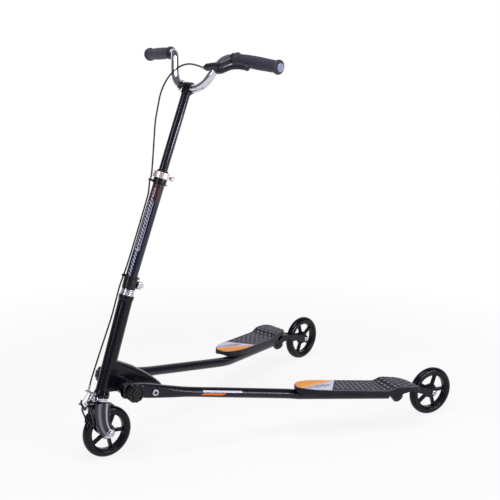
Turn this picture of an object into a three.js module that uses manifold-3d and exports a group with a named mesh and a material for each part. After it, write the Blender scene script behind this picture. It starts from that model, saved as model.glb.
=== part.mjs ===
import * as THREE from 'three';
import { mergeVertices } from 'three/addons/utils/BufferGeometryUtils.js';
import Module from 'manifold-3d';

// Three-wheeled drifting scooter: a front fork under a telescopic stem, and two splayed
// arms that each carry a footboard and an inclined swivel caster.
// Millimetres and degrees. X points forward, Y to the rider's left, Z up.
// While it is built, the origin is on the ground under the front axle.

const wasm = await Module();
wasm.setup();

// Shared clearances and counts of sides.
const GAP = 0.3;
const RUN = 0.4;
const WELD = 0.0001;
const REACH = 400;
const OVERRUN = 1;
const SIDES = { wheel: 30, fine: 22, round: 16, small: 8, cable: 6, hex: 6, dome: 6 };

// Wheels, all three alike.
const WHEEL = { radius: 72.5, tyreHalf: 12, tyreDepth: 18.3, seatHalf: 9.4, rimDepth: 4.7 };
WHEEL.seatRadius = WHEEL.radius - WHEEL.tyreDepth;
WHEEL.rimInner = WHEEL.seatRadius - WHEEL.rimDepth;
const TYRE_SHARES = [[0, 0.82], [0.3, 0.98], [0.62, 0.96], [0.88, 0.7], [1, 0]];
const CORE = { webHalf: 4.6, hubRadius: 17, hubHalf: 11, spokes: 5, spokeWidth: 9, windowInner: 21.5 };
const WINDOW = { corner: 5.5, soft: 1.6, nearShare: 0.5, middleShare: 0.33 };
const TURN = { front: -30, left: -35.5, right: 2.5 };
const BEARING = { radius: 11, bore: 4.3, spacerRadius: 6.2 };
const AXLE = { radius: 3.9, headRadius: 7.6, headLength: 4.6 };

// Steering axis, from a point level with the front axle.
const STEER = { reach: 48.8, lean: 17.7 };
const FORK = { bladeInner: 14.5, bladeOuter: 22, crownAbove: 21.5, raceHeight: 4.4, slotClear: 6.5, edge: 2.2, front: 46.5 };
FORK.crownTop = WHEEL.radius + FORK.crownAbove;
FORK.slotRadius = WHEEL.radius + FORK.slotClear;
// Outline of a blade in shares of FORK.front ahead of the axle and of FORK.crownTop above it.
const FORK_SHARES = [
  [-0.0538, 0.883], [-0.0172, 0.6383], [-0.0022, 0.4298], [-0.0538, 0.2872], [-0.1548, 0.1638],
  [-0.2366, 0.0638], [-0.271, -0.0106], [-0.1978, -0.0957], [0, -0.1362], [0.172, -0.134],
  [0.357, -0.1011], [0.5591, -0.0053], [0.7376, 0.1223], [0.8817, 0.3191], [0.972, 0.55], [1, 0.766],
  [0.914, 1.0213],
];
const STEERER = { radius: 14.3, bore: 11.8, recess: 1.4 };
const LOWER_CUP = { length: 9.9, radius: 20.4 };
const UPPER_CUP = { length: 7.6, radius: 18.6 };
const HEADSET = { bore: STEERER.radius + RUN };
const HEAD = { radius: 19, bore: 17, length: 283.1, taper: 8 };
const FLARE = { bottomRadius: 22, bottomLength: 10, topRadius: 20.8, topLength: 7 };
const LOCKNUT = { length: 9.2, radius: 17.3, waist: 16.2, grooveShare: 0.5 };
const STEM_CLAMP = { bore: STEERER.radius + RUN, radius: 18.3, length: 27.8, earBack: 33, earHalf: 9 };
const STEM_EAR = { belowTop: 4.1, aboveBottom: 3.9, slotHalf: 1.1, boltBack: 26.2 };
const STEM_BOLT = { radius: 3.6, headRadius: 9.8, headLength: 6.5, nutRadius: 7.5, nutLength: 5 };

// Heights along the steering axis, each piece standing on the one below.
const CUP = { bottom: FORK.crownTop + FORK.raceHeight };
CUP.top = CUP.bottom + LOWER_CUP.length;
HEAD.bottom = CUP.top + GAP;
HEAD.top = HEAD.bottom + HEAD.length;
UPPER_CUP.bottom = HEAD.top + GAP;
UPPER_CUP.top = UPPER_CUP.bottom + UPPER_CUP.length;
LOCKNUT.bottom = UPPER_CUP.top + RUN;
LOCKNUT.top = LOCKNUT.bottom + LOCKNUT.length;
STEM_CLAMP.bottom = LOCKNUT.top + RUN;
STEM_CLAMP.top = STEM_CLAMP.bottom + STEM_CLAMP.length;
STEM_EAR.bottom = STEM_CLAMP.bottom + STEM_EAR.aboveBottom;
STEM_EAR.top = STEM_CLAMP.top - STEM_EAR.belowTop;
STEM_EAR.boltHeight = (STEM_EAR.bottom + STEM_EAR.top) / 2;
STEERER.top = STEM_CLAMP.top - STEERER.recess;

// The stem leans a little further back than the head tube, from the bend upwards.
const LOWER_STEM = { radius: 15.9, bore: 14.1, length: 281.6, stub: STEM_CLAMP.top + GAP };
const LOW_GUIDE = { length: 8, eyeBelow: 1, radius: 19.4, lugBack: 25.5, bottom: LOWER_STEM.stub + GAP };
LOW_GUIDE.bore = LOWER_STEM.radius + GAP;
LOW_GUIDE.top = LOW_GUIDE.bottom + LOW_GUIDE.length;
LOW_GUIDE.eyeTop = LOW_GUIDE.top - LOW_GUIDE.eyeBelow;
const BEND = { above: 4.6, lean: 20.44 };
BEND.height = LOW_GUIDE.top + BEND.above;
const TOP_CLAMP = { bore: LOWER_STEM.radius + GAP, radius: 22.5, length: 16.6, proud: 1, earBack: 34, earHalf: 10 };
TOP_CLAMP.top = LOWER_STEM.length + TOP_CLAMP.proud;
TOP_CLAMP.bottom = TOP_CLAMP.top - TOP_CLAMP.length;
const TOP_EAR = { slotHalf: 1.2, boltBack: 27.6, boltHeight: (TOP_CLAMP.bottom + TOP_CLAMP.top) / 2 };
const TOP_GUIDE = { length: 16.1, eyeAbove: 8.5, radius: 18.2, lugBack: 23.5, bore: LOWER_STEM.radius + GAP };
TOP_GUIDE.top = TOP_CLAMP.bottom - RUN;
TOP_GUIDE.bottom = TOP_GUIDE.top - TOP_GUIDE.length;
TOP_GUIDE.eyeTop = TOP_GUIDE.bottom + TOP_GUIDE.eyeAbove;
const UPPER_STEM = { radius: 12, bore: 10.4, inside: 131.6 };
UPPER_STEM.bottom = LOWER_STEM.length - UPPER_STEM.inside;
const SLEEVE = { bore: UPPER_STEM.radius + GAP, radius: 13.8, inside: 45.6, flangeRadius: 15.3, flangeHeight: 5.1 };
SLEEVE.bottom = LOWER_STEM.length - SLEEVE.inside;
SLEEVE.flangeTop = TOP_CLAMP.top + GAP + SLEEVE.flangeHeight;
const TOP_BOLT = { radius: 3.2, headRadius: 6.4, headLength: 5.5, nutRadius: 6, nutLength: 5 };
const GUIDE_EYE = { radius: 5, hole: 2.8, thick: 6, lugHalf: 3.4, lugThick: 4.5 };

// Handlebar: a riser bend on each side, then a straight swept-back end for the grip.
const BAR = { aboveClamp: 234.8, setback: 3, radius: 11.1, bore: 9.3, end: 303, samples: 14 };
BAR.height = TOP_CLAMP.top + BAR.aboveClamp;
const BAR_ROUTE = [
  [0, 0, 0], [16, 0.3, 0], [32, 2, 0], [51, 8, 0.2], [68, 18.5, 0.6], [81, 33, 1], [91, 49.5, 1],
  [100, 65.2, 0.4], [109.5, 78.1, -1.4], [120, 87.2, -4.4], [130, 92.2, -7.7], [140, 94, -9.8],
];
const SWEEP = { start: 140, rise: 94, back: 9.8, slope: 0.1732, drop: 0.026 };
const BAR_CLAMP = { bore: BAR.radius + RUN, radius: 15.6, half: 13, split: 0.3, neckRadius: 14.6, neckDrop: 17, plugDrop: 38 };
BAR_CLAMP.plug = UPPER_STEM.bore - GAP;
UPPER_STEM.top = BAR.height - BAR_CLAMP.neckDrop - RUN;
const BAR_EAR = { front: 30, half: 9, thick: 8.5, boltFront: 24, hole: 3.5 };
const BAR_BOLT = { radius: 3.1, headRadius: 5, headLength: 5.5 };
const GRIP = { start: 154, bore: BAR.radius + GAP, length: 151, flange: 18.6, sides: 18 };
const GRIP_SHARES = [
  [0, 0.946], [0.033, 0.946], [0.043, 0.828], [0.265, 0.871], [0.53, 0.903], [0.795, 0.86], [0.94, 0.882], [0.96, 1], [1, 1],
];
const PLUG = { radius: 11, lip: 3.6, spigot: 8.3, depth: 14, beyond: 2 };

// Brake lever on the left of the bar; places are [forward, left, above the middle of the bar].
const LEVER_CLAMP = { bore: 12, radius: 14.8, start: 142.8, length: 9.6 };
const BRACKET = { pivotPlace: [21, 139, 62.6], mouthPlace: [26.4, 98, 54.4], neckAt: 146, radius: 8.2, neckRadius: 6.4 };
const PIVOT_PIN = { radius: 2.6, hole: 3, headRadius: 4.6, headLength: 2.2 };
const LEVER = { bossRadius: 7.2, bossHeight: 5.8, belowPivot: 11.2, half: 5, thick: 3, tipRadius: 5.2, open: 5.4 };
const LEVER_ROUTE = [
  [20, 141, 48.6], [20.5, 158, 50.4], [20, 174, 56.6], [17.5, 190, 63.6], [12, 212, 68.1], [5, 236, 69.2],
];
const onBar = ([forward, left, up]) => [forward, left, BAR.height + up];
BRACKET.pivot = onBar(BRACKET.pivotPlace);
BRACKET.mouth = onBar(BRACKET.mouthPlace);
LEVER.top = BRACKET.pivot[2] - LEVER.belowPivot;
LEVER.bottom = LEVER.top - LEVER.bossHeight;
const ADJUSTER = { radius: 3.4, barrel: 5.2, barrelLength: 6, length: 12.5 };

// Side-pull caliper, seated on the front of the fork crown.
const CALIPER = { drop: 10, seat: 0.052, armGap: 3.2, armStep: 6.8, bossRadius: 8, bossThick: 5 };
CALIPER.height = FORK.crownTop - CALIPER.drop;
const steerLean = THREE.MathUtils.degToRad(STEER.lean);
CALIPER.inner = (FORK.front - STEER.reach) * Math.cos(steerLean) + CALIPER.height * Math.sin(steerLean) + CALIPER.seat;
CALIPER.leftFront = CALIPER.inner + CALIPER.armGap;
CALIPER.rightFront = CALIPER.leftFront + CALIPER.armStep;

// Brake cable casing, from the lever to the front caliper. Places are lifted to a height that they follow,
// and set out from a face in front of the steering axis.
const CABLE = { radius: 2.2, ferrule: 3.1, ferruleLength: 11, samples: 3 };
const lifted = (base, places, face = 0) => places.map(([forward, left, up]) => [face + forward, left, base + up]);
const CABLE_TOP_ROUTE = [
  ...lifted(TOP_GUIDE.bottom, [
    [23.5, -11, 9.3], [24, -11, 18.5], [27.4, -11.2, 34.5], [36.3, -14, 75],
  ]),
  ...lifted(BAR.height, [
    [45.8, -17, -151.4], [55, -19, -110.4], [60, -20, -70.8], [64.5, -18, -39.4], [65.6, -13.5, -17.2],
    [65, -5, 5.6], [63.5, 5, 20.6], [61, 18, 35], [56, 35, 46.6], [48.7, 52, 52.8], [37, 72, 53.6],
    [28.3, 84.8, 51.6],
  ]),
];
const CABLE_LOW_STEM = [
  ...lifted(TOP_GUIDE.bottom, [
    [23.5, -11, 8.9], [23.5, -11, 0.5], [21.6, -9.9, -11.5], [18.8, -8.4, -29.5], [18, -8, -54.5],
  ]),
  [18, -8, 30],
];
const CABLE_LOW_HEAD = [
  ...lifted(LOW_GUIDE.bottom, [
    [17, -13, 4], [17.4, -17.4, -26], [17.6, -18.2, -52], [17.6, -18.6, -109],
  ]),
  ...lifted(FORK.crownTop, [
    [1, -20, 135], [6, -21.6, 56], [6.2, -22, 37.8],
  ], CALIPER.inner),
];

// Arms of the caliper; places are [forward of its seat, left, above its bolt].
const CALIPER_ARM = { half: 2.4, thick: 4.6, hole: 3.4 };
const LEFT_ARM_ROUTE = lifted(CALIPER.height, [
  [5.7, -22, 26], [5.7, -14, 15], [5.7, 0, 0], [5.2, 13, -8], [2.6, 21, -22], [-3.9, 22.4, -36],
  [-9.9, 22.2, -49],
], CALIPER.inner);
const RIGHT_ARM_ROUTE = lifted(CALIPER.height, [
  [12.5, 0, 0], [12.5, -10, 3.5], [13.1, -19, 3.5], [12.6, -26, -5], [6.6, -26.5, -21],
  [-2.9, -23.8, -36], [-9.9, -22.2, -49],
], CALIPER.inner);
const STOP_ROUTE = lifted(CALIPER.height, [
  [12.5, 0, 0], [12.8, -12, 14], [13, -20.5, 27], [11, -22, 37], [6.6, -22, 44],
], CALIPER.inner);
const CALIPER_BOLT = { radius: 3, headRadius: 6, headLength: 5, spacerRadius: 6 };
const PAD = { inner: 13.4, outer: 17.2, outline: [[-18.4, -56], [-4.4, -56], [-1.4, -42], [-11.9, -42]] };
const FENDER = { clear: 3.7, thick: 2.2, half: 13.4, from: 40, to: 103, steps: 12 };
FENDER.inner = WHEEL.radius + FENDER.clear;
FENDER.outer = FENDER.inner + FENDER.thick;

// Gusset behind the head tube: an inverted channel with a domed top, open underneath.
// Stations are [x, half width, bottom, edge height, crown height], the heights above those of its foot.
const GUSSET = { wall: 3, foot: WHEEL.radius + HEAD.bottom };
const GUSSET_STATIONS = [
  [14, 19, 12.9, 111.7, 118.9], [-18, 19, 8.4, 90.9, 97.4], [-45, 19, 3.7, 73.5, 83.9], [-82, 19, -2.7, 49.5, 64.9],
  [-120, 19, -9.5, 24.9, 38.9], [-148, 18.4, -14.4, 6.8, 16.9], [-163, 15.5, -17, -2.9, 2.4], [-170, 9.5, -16.6, -8.1, -5.1],
];

// Fold joint: one transverse axle through both arms, a cross tube and a knob at each end.
const ARM = { aboveFoot: 27.2, rearAbove: 39.287, rearX: -530, restX: 0, wall: 1.6, points: 14, frontY: 64, frontHalf: 11 };
ARM.z = GUSSET.foot + ARM.aboveFoot;
ARM.slope = (ARM.z - WHEEL.radius - ARM.rearAbove) / (ARM.restX - ARM.rearX);
const FOLD = { x: -42.3, axleRadius: 5, nutDepth: 5.4, bore: 5.3 };
FOLD.z = ARM.z + ARM.slope * (FOLD.x - ARM.restX);
const CROSS = { radius: 22, inner: 18.4, half: ARM.frontY - ARM.frontHalf - RUN, endThick: 5 };
const KNOB = { collarLength: 3.5, thick: 14.4, radius: 25, collarRadius: 15, lobes: 12, steps: 2, scallop: 1.3 };
KNOB.inner = ARM.frontY + ARM.frontHalf + RUN;
KNOB.collar = KNOB.inner + KNOB.collarLength;
KNOB.outer = KNOB.collar + KNOB.thick;
FOLD.axleHalf = KNOB.outer - FOLD.nutDepth;
const KNOB_FACE = { ringInner: 13.5, ringOuter: 17.5, ringDepth: 2, boreEnd: FOLD.axleHalf + RUN, bevel: 2 };

// Arms. Stations along X are [x, y, half width, half height, squareness].
const ARM_STATIONS = [
  [-14, ARM.frontY, 9, 17.5, 4], [-17, ARM.frontY, ARM.frontHalf, 20.5, 4], [-66, ARM.frontY, ARM.frontHalf, 20.5, 4],
  [-90, 70.6, 11.2, 20, 3.6], [-120, 79, 12, 18.4, 3],
  [-155, 88.2, 13.2, 16.4, 2.5], [-195, 97.1, 14.2, 14.4, 2], [-470, 154.7, 14.2, 14.3, 2],
  [-500, 161.6, 14.2, 14.3, 2], [ARM.rearX, 172.4, 14.2, 14.3, 2],
];
const ARM_END = { x: -785, y: 280, aboveAxle: 16.1, hollowShare: 0.82 };
ARM_END.z = WHEEL.radius + ARM_END.aboveAxle;
const ARM_BOLT = { x: -106, radius: 4, hole: 4.4, headRadius: 9.6, headLength: 5, nutRadius: 7 };
const ARM_SOCKET = { radius: 5, depth: 3 };

// Rear casters: kingpin axis leaning forward at the top, wheel trailing behind it.
const CASTER = { pinX: -822.44, pinY: 285.697, yaw: 9, ahead: 44.5, drop: 1.5, lean: 40 };
CASTER.forward = WHEEL.radius + CASTER.ahead;
CASTER.x = CASTER.pinX - CASTER.forward * Math.cos(THREE.MathUtils.degToRad(CASTER.yaw));
CASTER.y = CASTER.pinY + CASTER.forward * Math.sin(THREE.MathUtils.degToRad(CASTER.yaw));
const SWIVEL = { radius: 17, chamfer: 1.5, top: 26.1, bore: 5.3, clear: 17.8 };
const HOUSING = { radius: 17, bottom: SWIVEL.top + RUN, length: 25.5 };
HOUSING.top = HOUSING.bottom + HOUSING.length;
const KINGPIN = { radius: 4.9, headRadius: 8.4, headLength: 4.5, nutRadius: 8, nutLength: 5.5 };
const CASTER_FORK = { plateInner: 15.6, plateOuter: 19.6 };
// Outlines are [forward, up] from the axle, and in front of the tyre [ahead of it, up from the axle].
const beforeTyre = (points) => points.map(([ahead, up]) => [WHEEL.radius + ahead, up]);
const CROWN_PROFILE = beforeTyre([
  [11.5, 19], [37.5, 14], [49.5, 11], [63.5, 20], [51.5, 32], [43.5, 34], [11.5, 34],
]);
const PLATE_PROFILE = [
  ...beforeTyre([[31.5, 15], [11.5, 18.5]]),
  [12, -9.5], [6, -12], [0, -13], [-9.2, -9.4], [-13, 0], [-9.4, 9], [-1, 13], [8, 12.6],
  ...beforeTyre([[11.5, 34], [31.5, 34]]),
];

// Footboards. Stations are [distance from the nose, half width, height above the deck plane, depth].
const DECK = { x: -497, y: 175.3, aboveAxle: 76.85, lip: 3, wall: 3.6, skin: 4, below: 8 };
DECK.z = WHEEL.radius + DECK.aboveAxle;
const DECK_TURN = { heading: 22.9, fall: 5.3, roll: 1.5 };
const DECK_SKEW = { start: 200, end: 340, share: 0.32 };
const DECK_STATIONS = [
  [15, 6, -3.5, 9], [18, 16, -1.6, 14], [24, 25, -0.6, 17], [34, 32, 0, 17.9], [46, 37.5, 0, 17.9], [68, 43.6, 0, 17.9], [100, 46.2, 0, 17.9],
  [130, 47, 0, 17.9], [280, 48, 0, 17.9], [290, 48.2, 6, 17.9], [300, 48, 11, 17.9], [312, 47.6, 12.4, 17.9],
  [345, 45, 12.2, 15], [364, 40, 10.6, 13], [378, 32, 7.6, 10.4], [386, 22, 4.4, 7], [389.5, 13, 2, 5],
];
const POCKETS = [[28, 104], [108, 190], [194, 274], [278, 356]];

const PAINT = new THREE.MeshStandardMaterial({ color: '#121218', roughness: 0.32, metalness: 0.35 });
const STEM_BLACK = new THREE.MeshStandardMaterial({ color: '#1b1b26', roughness: 0.28, metalness: 0.5 });
const CHROME = new THREE.MeshStandardMaterial({ color: '#d8d8e0', roughness: 0.12, metalness: 1 });
const CAST = new THREE.MeshStandardMaterial({ color: '#a9a9b8', roughness: 0.3, metalness: 0.9 });
const STEEL = new THREE.MeshStandardMaterial({ color: '#b4b4bc', roughness: 0.35, metalness: 0.9 });
const ALLOY = new THREE.MeshStandardMaterial({ color: '#d9c8c8', roughness: 0.4, metalness: 0.8 });
const PLASTIC = new THREE.MeshStandardMaterial({ color: '#17171c', roughness: 0.5, metalness: 0 });
const BOARD = new THREE.MeshStandardMaterial({ color: '#26262c', roughness: 0.6, metalness: 0 });
const RUBBER = new THREE.MeshStandardMaterial({ color: '#2f2e38', roughness: 0.75, metalness: 0 });
const TYRE = new THREE.MeshStandardMaterial({ color: '#1c1b26', roughness: 0.22, metalness: 0 });
const CASING = new THREE.MeshStandardMaterial({ color: '#141418', roughness: 0.45, metalness: 0 });

const radians = THREE.MathUtils.degToRad;
const vector = (place) => new THREE.Vector3(...place);

// Outward-facing copy of a closed geometry, as a solid that can be joined and cut.
function solidOf(geometry) {
  const bare = geometry.clone();
  bare.deleteAttribute('normal');
  bare.deleteAttribute('uv');
  const welded = mergeVertices(bare, WELD);
  const points = welded.attributes.position.array;
  const index = Uint32Array.from(welded.index.array);
  if (volumeOf(points, index) < 0) {
    for (let i = 0; i < index.length; i += 3) {
      [index[i], index[i + 1]] = [index[i + 1], index[i]];
    }
  }
  return new wasm.Manifold(new wasm.Mesh({ numProp: 3, vertProperties: points, triVerts: index }));
}

function volumeOf(points, index) {
  const [a, b, c] = [new THREE.Vector3(), new THREE.Vector3(), new THREE.Vector3()];
  let total = 0;
  for (let i = 0; i < index.length; i += 3) {
    a.fromArray(points, 3 * index[i]);
    b.fromArray(points, 3 * index[i + 1]);
    c.fromArray(points, 3 * index[i + 2]);
    total += a.dot(b.cross(c)) / 6;
  }
  return total;
}

function joined(first, ...others) {
  return others.reduce((body, other) => body.add(other), first);
}

function cut(first, ...others) {
  return others.reduce((body, other) => body.subtract(other), first);
}

function meshOf(name, solid, material) {
  const data = solid.getMesh();
  const geometry = new THREE.BufferGeometry();
  const positions = new Float32Array(data.vertProperties);
  geometry.setAttribute('position', new THREE.BufferAttribute(positions, 3));
  geometry.setIndex(new THREE.BufferAttribute(Uint32Array.from(data.triVerts), 1));
  geometry.computeVertexNormals();
  const mesh = new THREE.Mesh(geometry, material);
  mesh.name = name;
  return mesh;
}

// A closed outline of [radius, height], turned about Z.
function turned(outline, sides = SIDES.round) {
  const points = [...outline, outline[0]].map(([radius, height]) => new THREE.Vector2(radius, height));
  return solidOf(new THREE.LatheGeometry(points, sides).rotateX(Math.PI / 2));
}

function ring(bore, radius, bottom, top, sides = SIDES.round) {
  return turned([[bore, bottom], [radius, bottom], [radius, top], [bore, top]], sides);
}

// A straight round rod between two places.
function rod(radius, from, to, sides = SIDES.round) {
  const [start, end] = [vector(from), vector(to)];
  const along = end.clone().sub(start);
  const geometry = new THREE.CylinderGeometry(radius, radius, along.length(), sides);
  const turn = new THREE.Quaternion().setFromUnitVectors(new THREE.Vector3(0, 1, 0), along.clone().normalize());
  geometry.applyQuaternion(turn);
  const middle = start.add(end).multiplyScalar(0.5);
  return solidOf(geometry.translate(middle.x, middle.y, middle.z));
}

// A box between two opposite corners.
function block(low, high) {
  const [a, b] = [vector(low), vector(high)];
  const size = b.clone().sub(a);
  const middle = a.add(b).multiplyScalar(0.5);
  const geometry = new THREE.BoxGeometry(size.x, size.y, size.z);
  return solidOf(geometry.translate(middle.x, middle.y, middle.z));
}

// A side outline of [x, z], given a thickness from one Y to another.
function prism(outline, fromY, toY, edge = 0) {
  const shape = outline instanceof THREE.Shape ? outline : new THREE.Shape(outline.map(([x, z]) => new THREE.Vector2(x, z)));
  const bevel = { bevelEnabled: edge > 0, bevelThickness: edge, bevelSize: edge, bevelOffset: -edge, bevelSegments: 1 };
  const depth = toY - fromY - 2 * edge;
  const geometry = new THREE.ExtrudeGeometry(shape, { depth, steps: 1, curveSegments: SIDES.cable, ...bevel });
  return solidOf(geometry.rotateX(Math.PI / 2).translate(0, toY - edge, 0));
}

// A closed skin over a row of rings that have the same number of points.
function loft(rings) {
  const count = rings[0].length;
  const points = rings.flat();
  const index = [];
  for (let row = 0; row + 1 < rings.length; row += 1) {
    for (let i = 0; i < count; i += 1) {
      const next = (i + 1) % count;
      const [a, b] = [row * count + i, row * count + next];
      index.push(a, b, b + count, a, b + count, a + count);
    }
  }
  for (const [row, flip] of [[0, true], [rings.length - 1, false]]) {
    const middle = new THREE.Vector3();
    rings[row].forEach((point) => middle.addScaledVector(point, 1 / count));
    points.push(middle);
    for (let i = 0; i < count; i += 1) {
      const [a, b] = [row * count + i, row * count + (i + 1) % count];
      index.push(...(flip ? [b, a, points.length - 1] : [a, b, points.length - 1]));
    }
  }
  const geometry = new THREE.BufferGeometry().setFromPoints(points);
  geometry.setIndex(index);
  return solidOf(geometry);
}

// An oval section carried along a list of places; `up` gives the side that `thick` faces.
function sweep(places, half, thick = half, sides = SIDES.small, up = new THREE.Vector3(0, 0, 1)) {
  const rings = places.map((place, i) => {
    const ahead = places[Math.min(i + 1, places.length - 1)];
    const behind = places[Math.max(i - 1, 0)];
    const along = ahead.clone().sub(behind).normalize();
    const across = up.clone().cross(along).normalize();
    const over = along.clone().cross(across);
    return Array.from({ length: sides }, (_, k) => {
      const angle = 2 * Math.PI * k / sides;
      return place.clone()
        .addScaledVector(across, thick * Math.cos(angle))
        .addScaledVector(over, half * Math.sin(angle));
    });
  });
  return loft(rings);
}

function smooth(places, samples) {
  return new THREE.CatmullRomCurve3(places.map(vector), false, 'centripetal').getSpacedPoints(samples);
}

// The same curve, with its samples counted from place to place, so that it passes through each one.
function through(places, samples) {
  const steps = samples * (places.length - 1);
  return new THREE.CatmullRomCurve3(places.map(vector), false, 'centripetal').getPoints(steps);
}

const BOTH = [['left', 1], ['right', -1]];
const sided = (solid, side) => (side > 0 ? solid : solid.mirror([0, 1, 0]));

// Frames: the steering axis, the stem above its bend, and each caster.
const scooter = new THREE.Group();
scooter.name = 'scooter';
const headFrame = new THREE.Group();
headFrame.position.set(STEER.reach, 0, WHEEL.radius);
headFrame.rotation.y = -radians(STEER.lean);
const stemFrame = new THREE.Group();
stemFrame.position.set(0, 0, BEND.height);
stemFrame.rotation.y = -radians(BEND.lean - STEER.lean);
headFrame.add(stemFrame);
scooter.add(headFrame);
scooter.updateMatrixWorld(true);
const stemInHead = stemFrame.matrix.clone();
const headInStem = stemInHead.clone().invert();
const moved = (solid, matrix) => solid.transform(matrix.elements);
const stemPlace = (place) => vector(place).applyMatrix4(stemInHead);

// Wheels, each with its bearings and axle, around the wheel's own centre.

function tyre() {
  const span = WHEEL.radius - WHEEL.seatRadius;
  const half = TYRE_SHARES.map(([out, wide]) => [WHEEL.seatRadius + span * out, WHEEL.tyreHalf * wide]);
  const back = half.slice(0, -1).reverse().map(([radius, wide]) => [radius, -wide]);
  return turned([...half, ...back], SIDES.wheel).rotate([90, 0, 0]);
}

// Opening between two spokes, as a rounded outline around its middle direction.
function windowPath(direction) {
  const edge = Math.PI / CORE.spokes;
  const limit = (radius) => edge - Math.asin(CORE.spokeWidth / 2 / radius);
  const [near, far] = [CORE.windowInner, WHEEL.rimInner];
  const [low, high] = [near + WINDOW.corner, far - WINDOW.corner];
  const trim = WINDOW.corner / far;
  const half = [[near, 0], [near + WINDOW.soft, limit(near) * WINDOW.nearShare], [low, limit(low)], [high, limit(high)],
    [far - WINDOW.soft, limit(far) - trim * WINDOW.nearShare], [far, limit(far) - trim], [far, limit(far) * WINDOW.middleShare]];
  const other = half.slice(1).reverse().map(([radius, angle]) => [radius, -angle]);
  return new THREE.Path([...half, ...other].map(([radius, angle]) => new THREE.Vector2(
    radius * Math.cos(direction + angle),
    radius * Math.sin(direction + angle),
  )));
}

function core(turn) {
  const outer = WHEEL.seatRadius - GAP;
  const shape = new THREE.Shape(Array.from({ length: SIDES.fine }, (_, i) => {
    const angle = 2 * Math.PI * i / SIDES.fine;
    return new THREE.Vector2((outer - GAP) * Math.cos(angle), (outer - GAP) * Math.sin(angle));
  }));
  for (let i = 0; i < CORE.spokes; i += 1) {
    shape.holes.push(windowPath(radians(turn) + 2 * Math.PI * (i + 0.5) / CORE.spokes));
  }
  const web = prism(shape, -CORE.webHalf, CORE.webHalf);
  const rim = ring(WHEEL.rimInner, outer, -WHEEL.seatHalf, WHEEL.seatHalf, SIDES.wheel).rotate([90, 0, 0]);
  const hub = rod(CORE.hubRadius, [0, -CORE.hubHalf, 0], [0, CORE.hubHalf, 0]);
  const bore = rod(BEARING.radius, [0, -WHEEL.radius, 0], [0, WHEEL.radius, 0]);
  return cut(joined(web, rim, hub), bore);
}

function bearings(reach) {
  const outer = BEARING.radius - GAP;
  const outline = [
    [BEARING.bore, -reach], [BEARING.spacerRadius, -reach], [BEARING.spacerRadius, -CORE.hubHalf], [outer, -CORE.hubHalf],
    [outer, CORE.hubHalf], [BEARING.spacerRadius, CORE.hubHalf], [BEARING.spacerRadius, reach], [BEARING.bore, reach],
  ];
  return turned(outline).rotate([90, 0, 0]);
}

function axle(outer) {
  const face = outer + GAP;
  const end = face + AXLE.headLength;
  const shaft = rod(AXLE.radius, [0, -end + OVERRUN, 0], [0, end - OVERRUN, 0], SIDES.small);
  const heads = [1, -1].map((side) => rod(AXLE.headRadius, [0, side * face, 0], [0, side * end, 0], SIDES.small));
  return joined(shaft, ...heads);
}

function addWheel(frame, label, turn, forkInner, forkOuter) {
  frame.add(meshOf(`${label}_tyre`, tyre(), TYRE));
  frame.add(meshOf(`${label}_wheel_core`, core(turn), PLASTIC));
  frame.add(meshOf(`${label}_bearings`, bearings(forkInner - GAP), STEEL));
  frame.add(meshOf(`${label}_axle`, axle(forkOuter), STEEL));
}

const wheelFrame = new THREE.Group();
wheelFrame.position.set(0, 0, WHEEL.radius);
scooter.add(wheelFrame);
addWheel(wheelFrame, 'front', TURN.front, FORK.bladeInner, FORK.bladeOuter);

// Fork, fender and headset.

function fork() {
  const outline = FORK_SHARES.map(([x, z]) => [FORK.front * x - STEER.reach, FORK.crownTop * z]);
  const body = prism(outline, -FORK.bladeOuter, FORK.bladeOuter, FORK.edge);
  const slot = rod(FORK.slotRadius, [-STEER.reach, -FORK.bladeInner, 0], [-STEER.reach, FORK.bladeInner, 0], SIDES.wheel);
  const bore = rod(AXLE.radius + GAP, [-STEER.reach, -REACH, 0], [-STEER.reach, REACH, 0], SIDES.small);
  const level = moved(cut(body, slot, bore), new THREE.Matrix4().makeRotationY(radians(STEER.lean)));
  const above = block([-REACH, -REACH, FORK.crownTop], [REACH, REACH, REACH]);
  const tube = rod(STEERER.radius, [0, 0, FORK.crownTop - FORK.edge], [0, 0, STEERER.top]);
  const hollow = rod(STEERER.bore, [0, 0, FORK.crownTop], [0, 0, REACH + STEERER.top]);
  return cut(joined(cut(level, above), tube), hollow);
}

function headTube() {
  const outline = [
    [HEAD.bore, HEAD.bottom], [FLARE.bottomRadius, HEAD.bottom], [FLARE.bottomRadius, HEAD.bottom + FLARE.bottomLength],
    [HEAD.radius, HEAD.bottom + FLARE.bottomLength + HEAD.taper], [HEAD.radius, HEAD.top - FLARE.topLength - HEAD.taper],
    [FLARE.topRadius, HEAD.top - FLARE.topLength], [FLARE.topRadius, HEAD.top], [HEAD.bore, HEAD.top],
  ];
  return turned(outline, SIDES.fine);
}

function locknut() {
  const middle = LOCKNUT.bottom + (LOCKNUT.top - LOCKNUT.bottom) * LOCKNUT.grooveShare;
  const outline = [
    [HEADSET.bore, LOCKNUT.bottom], [LOCKNUT.radius, LOCKNUT.bottom], [LOCKNUT.radius, middle - GAP],
    [LOCKNUT.waist, middle], [LOCKNUT.radius, middle + GAP], [LOCKNUT.radius, LOCKNUT.top], [HEADSET.bore, LOCKNUT.top],
  ];
  return turned(outline);
}

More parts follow.
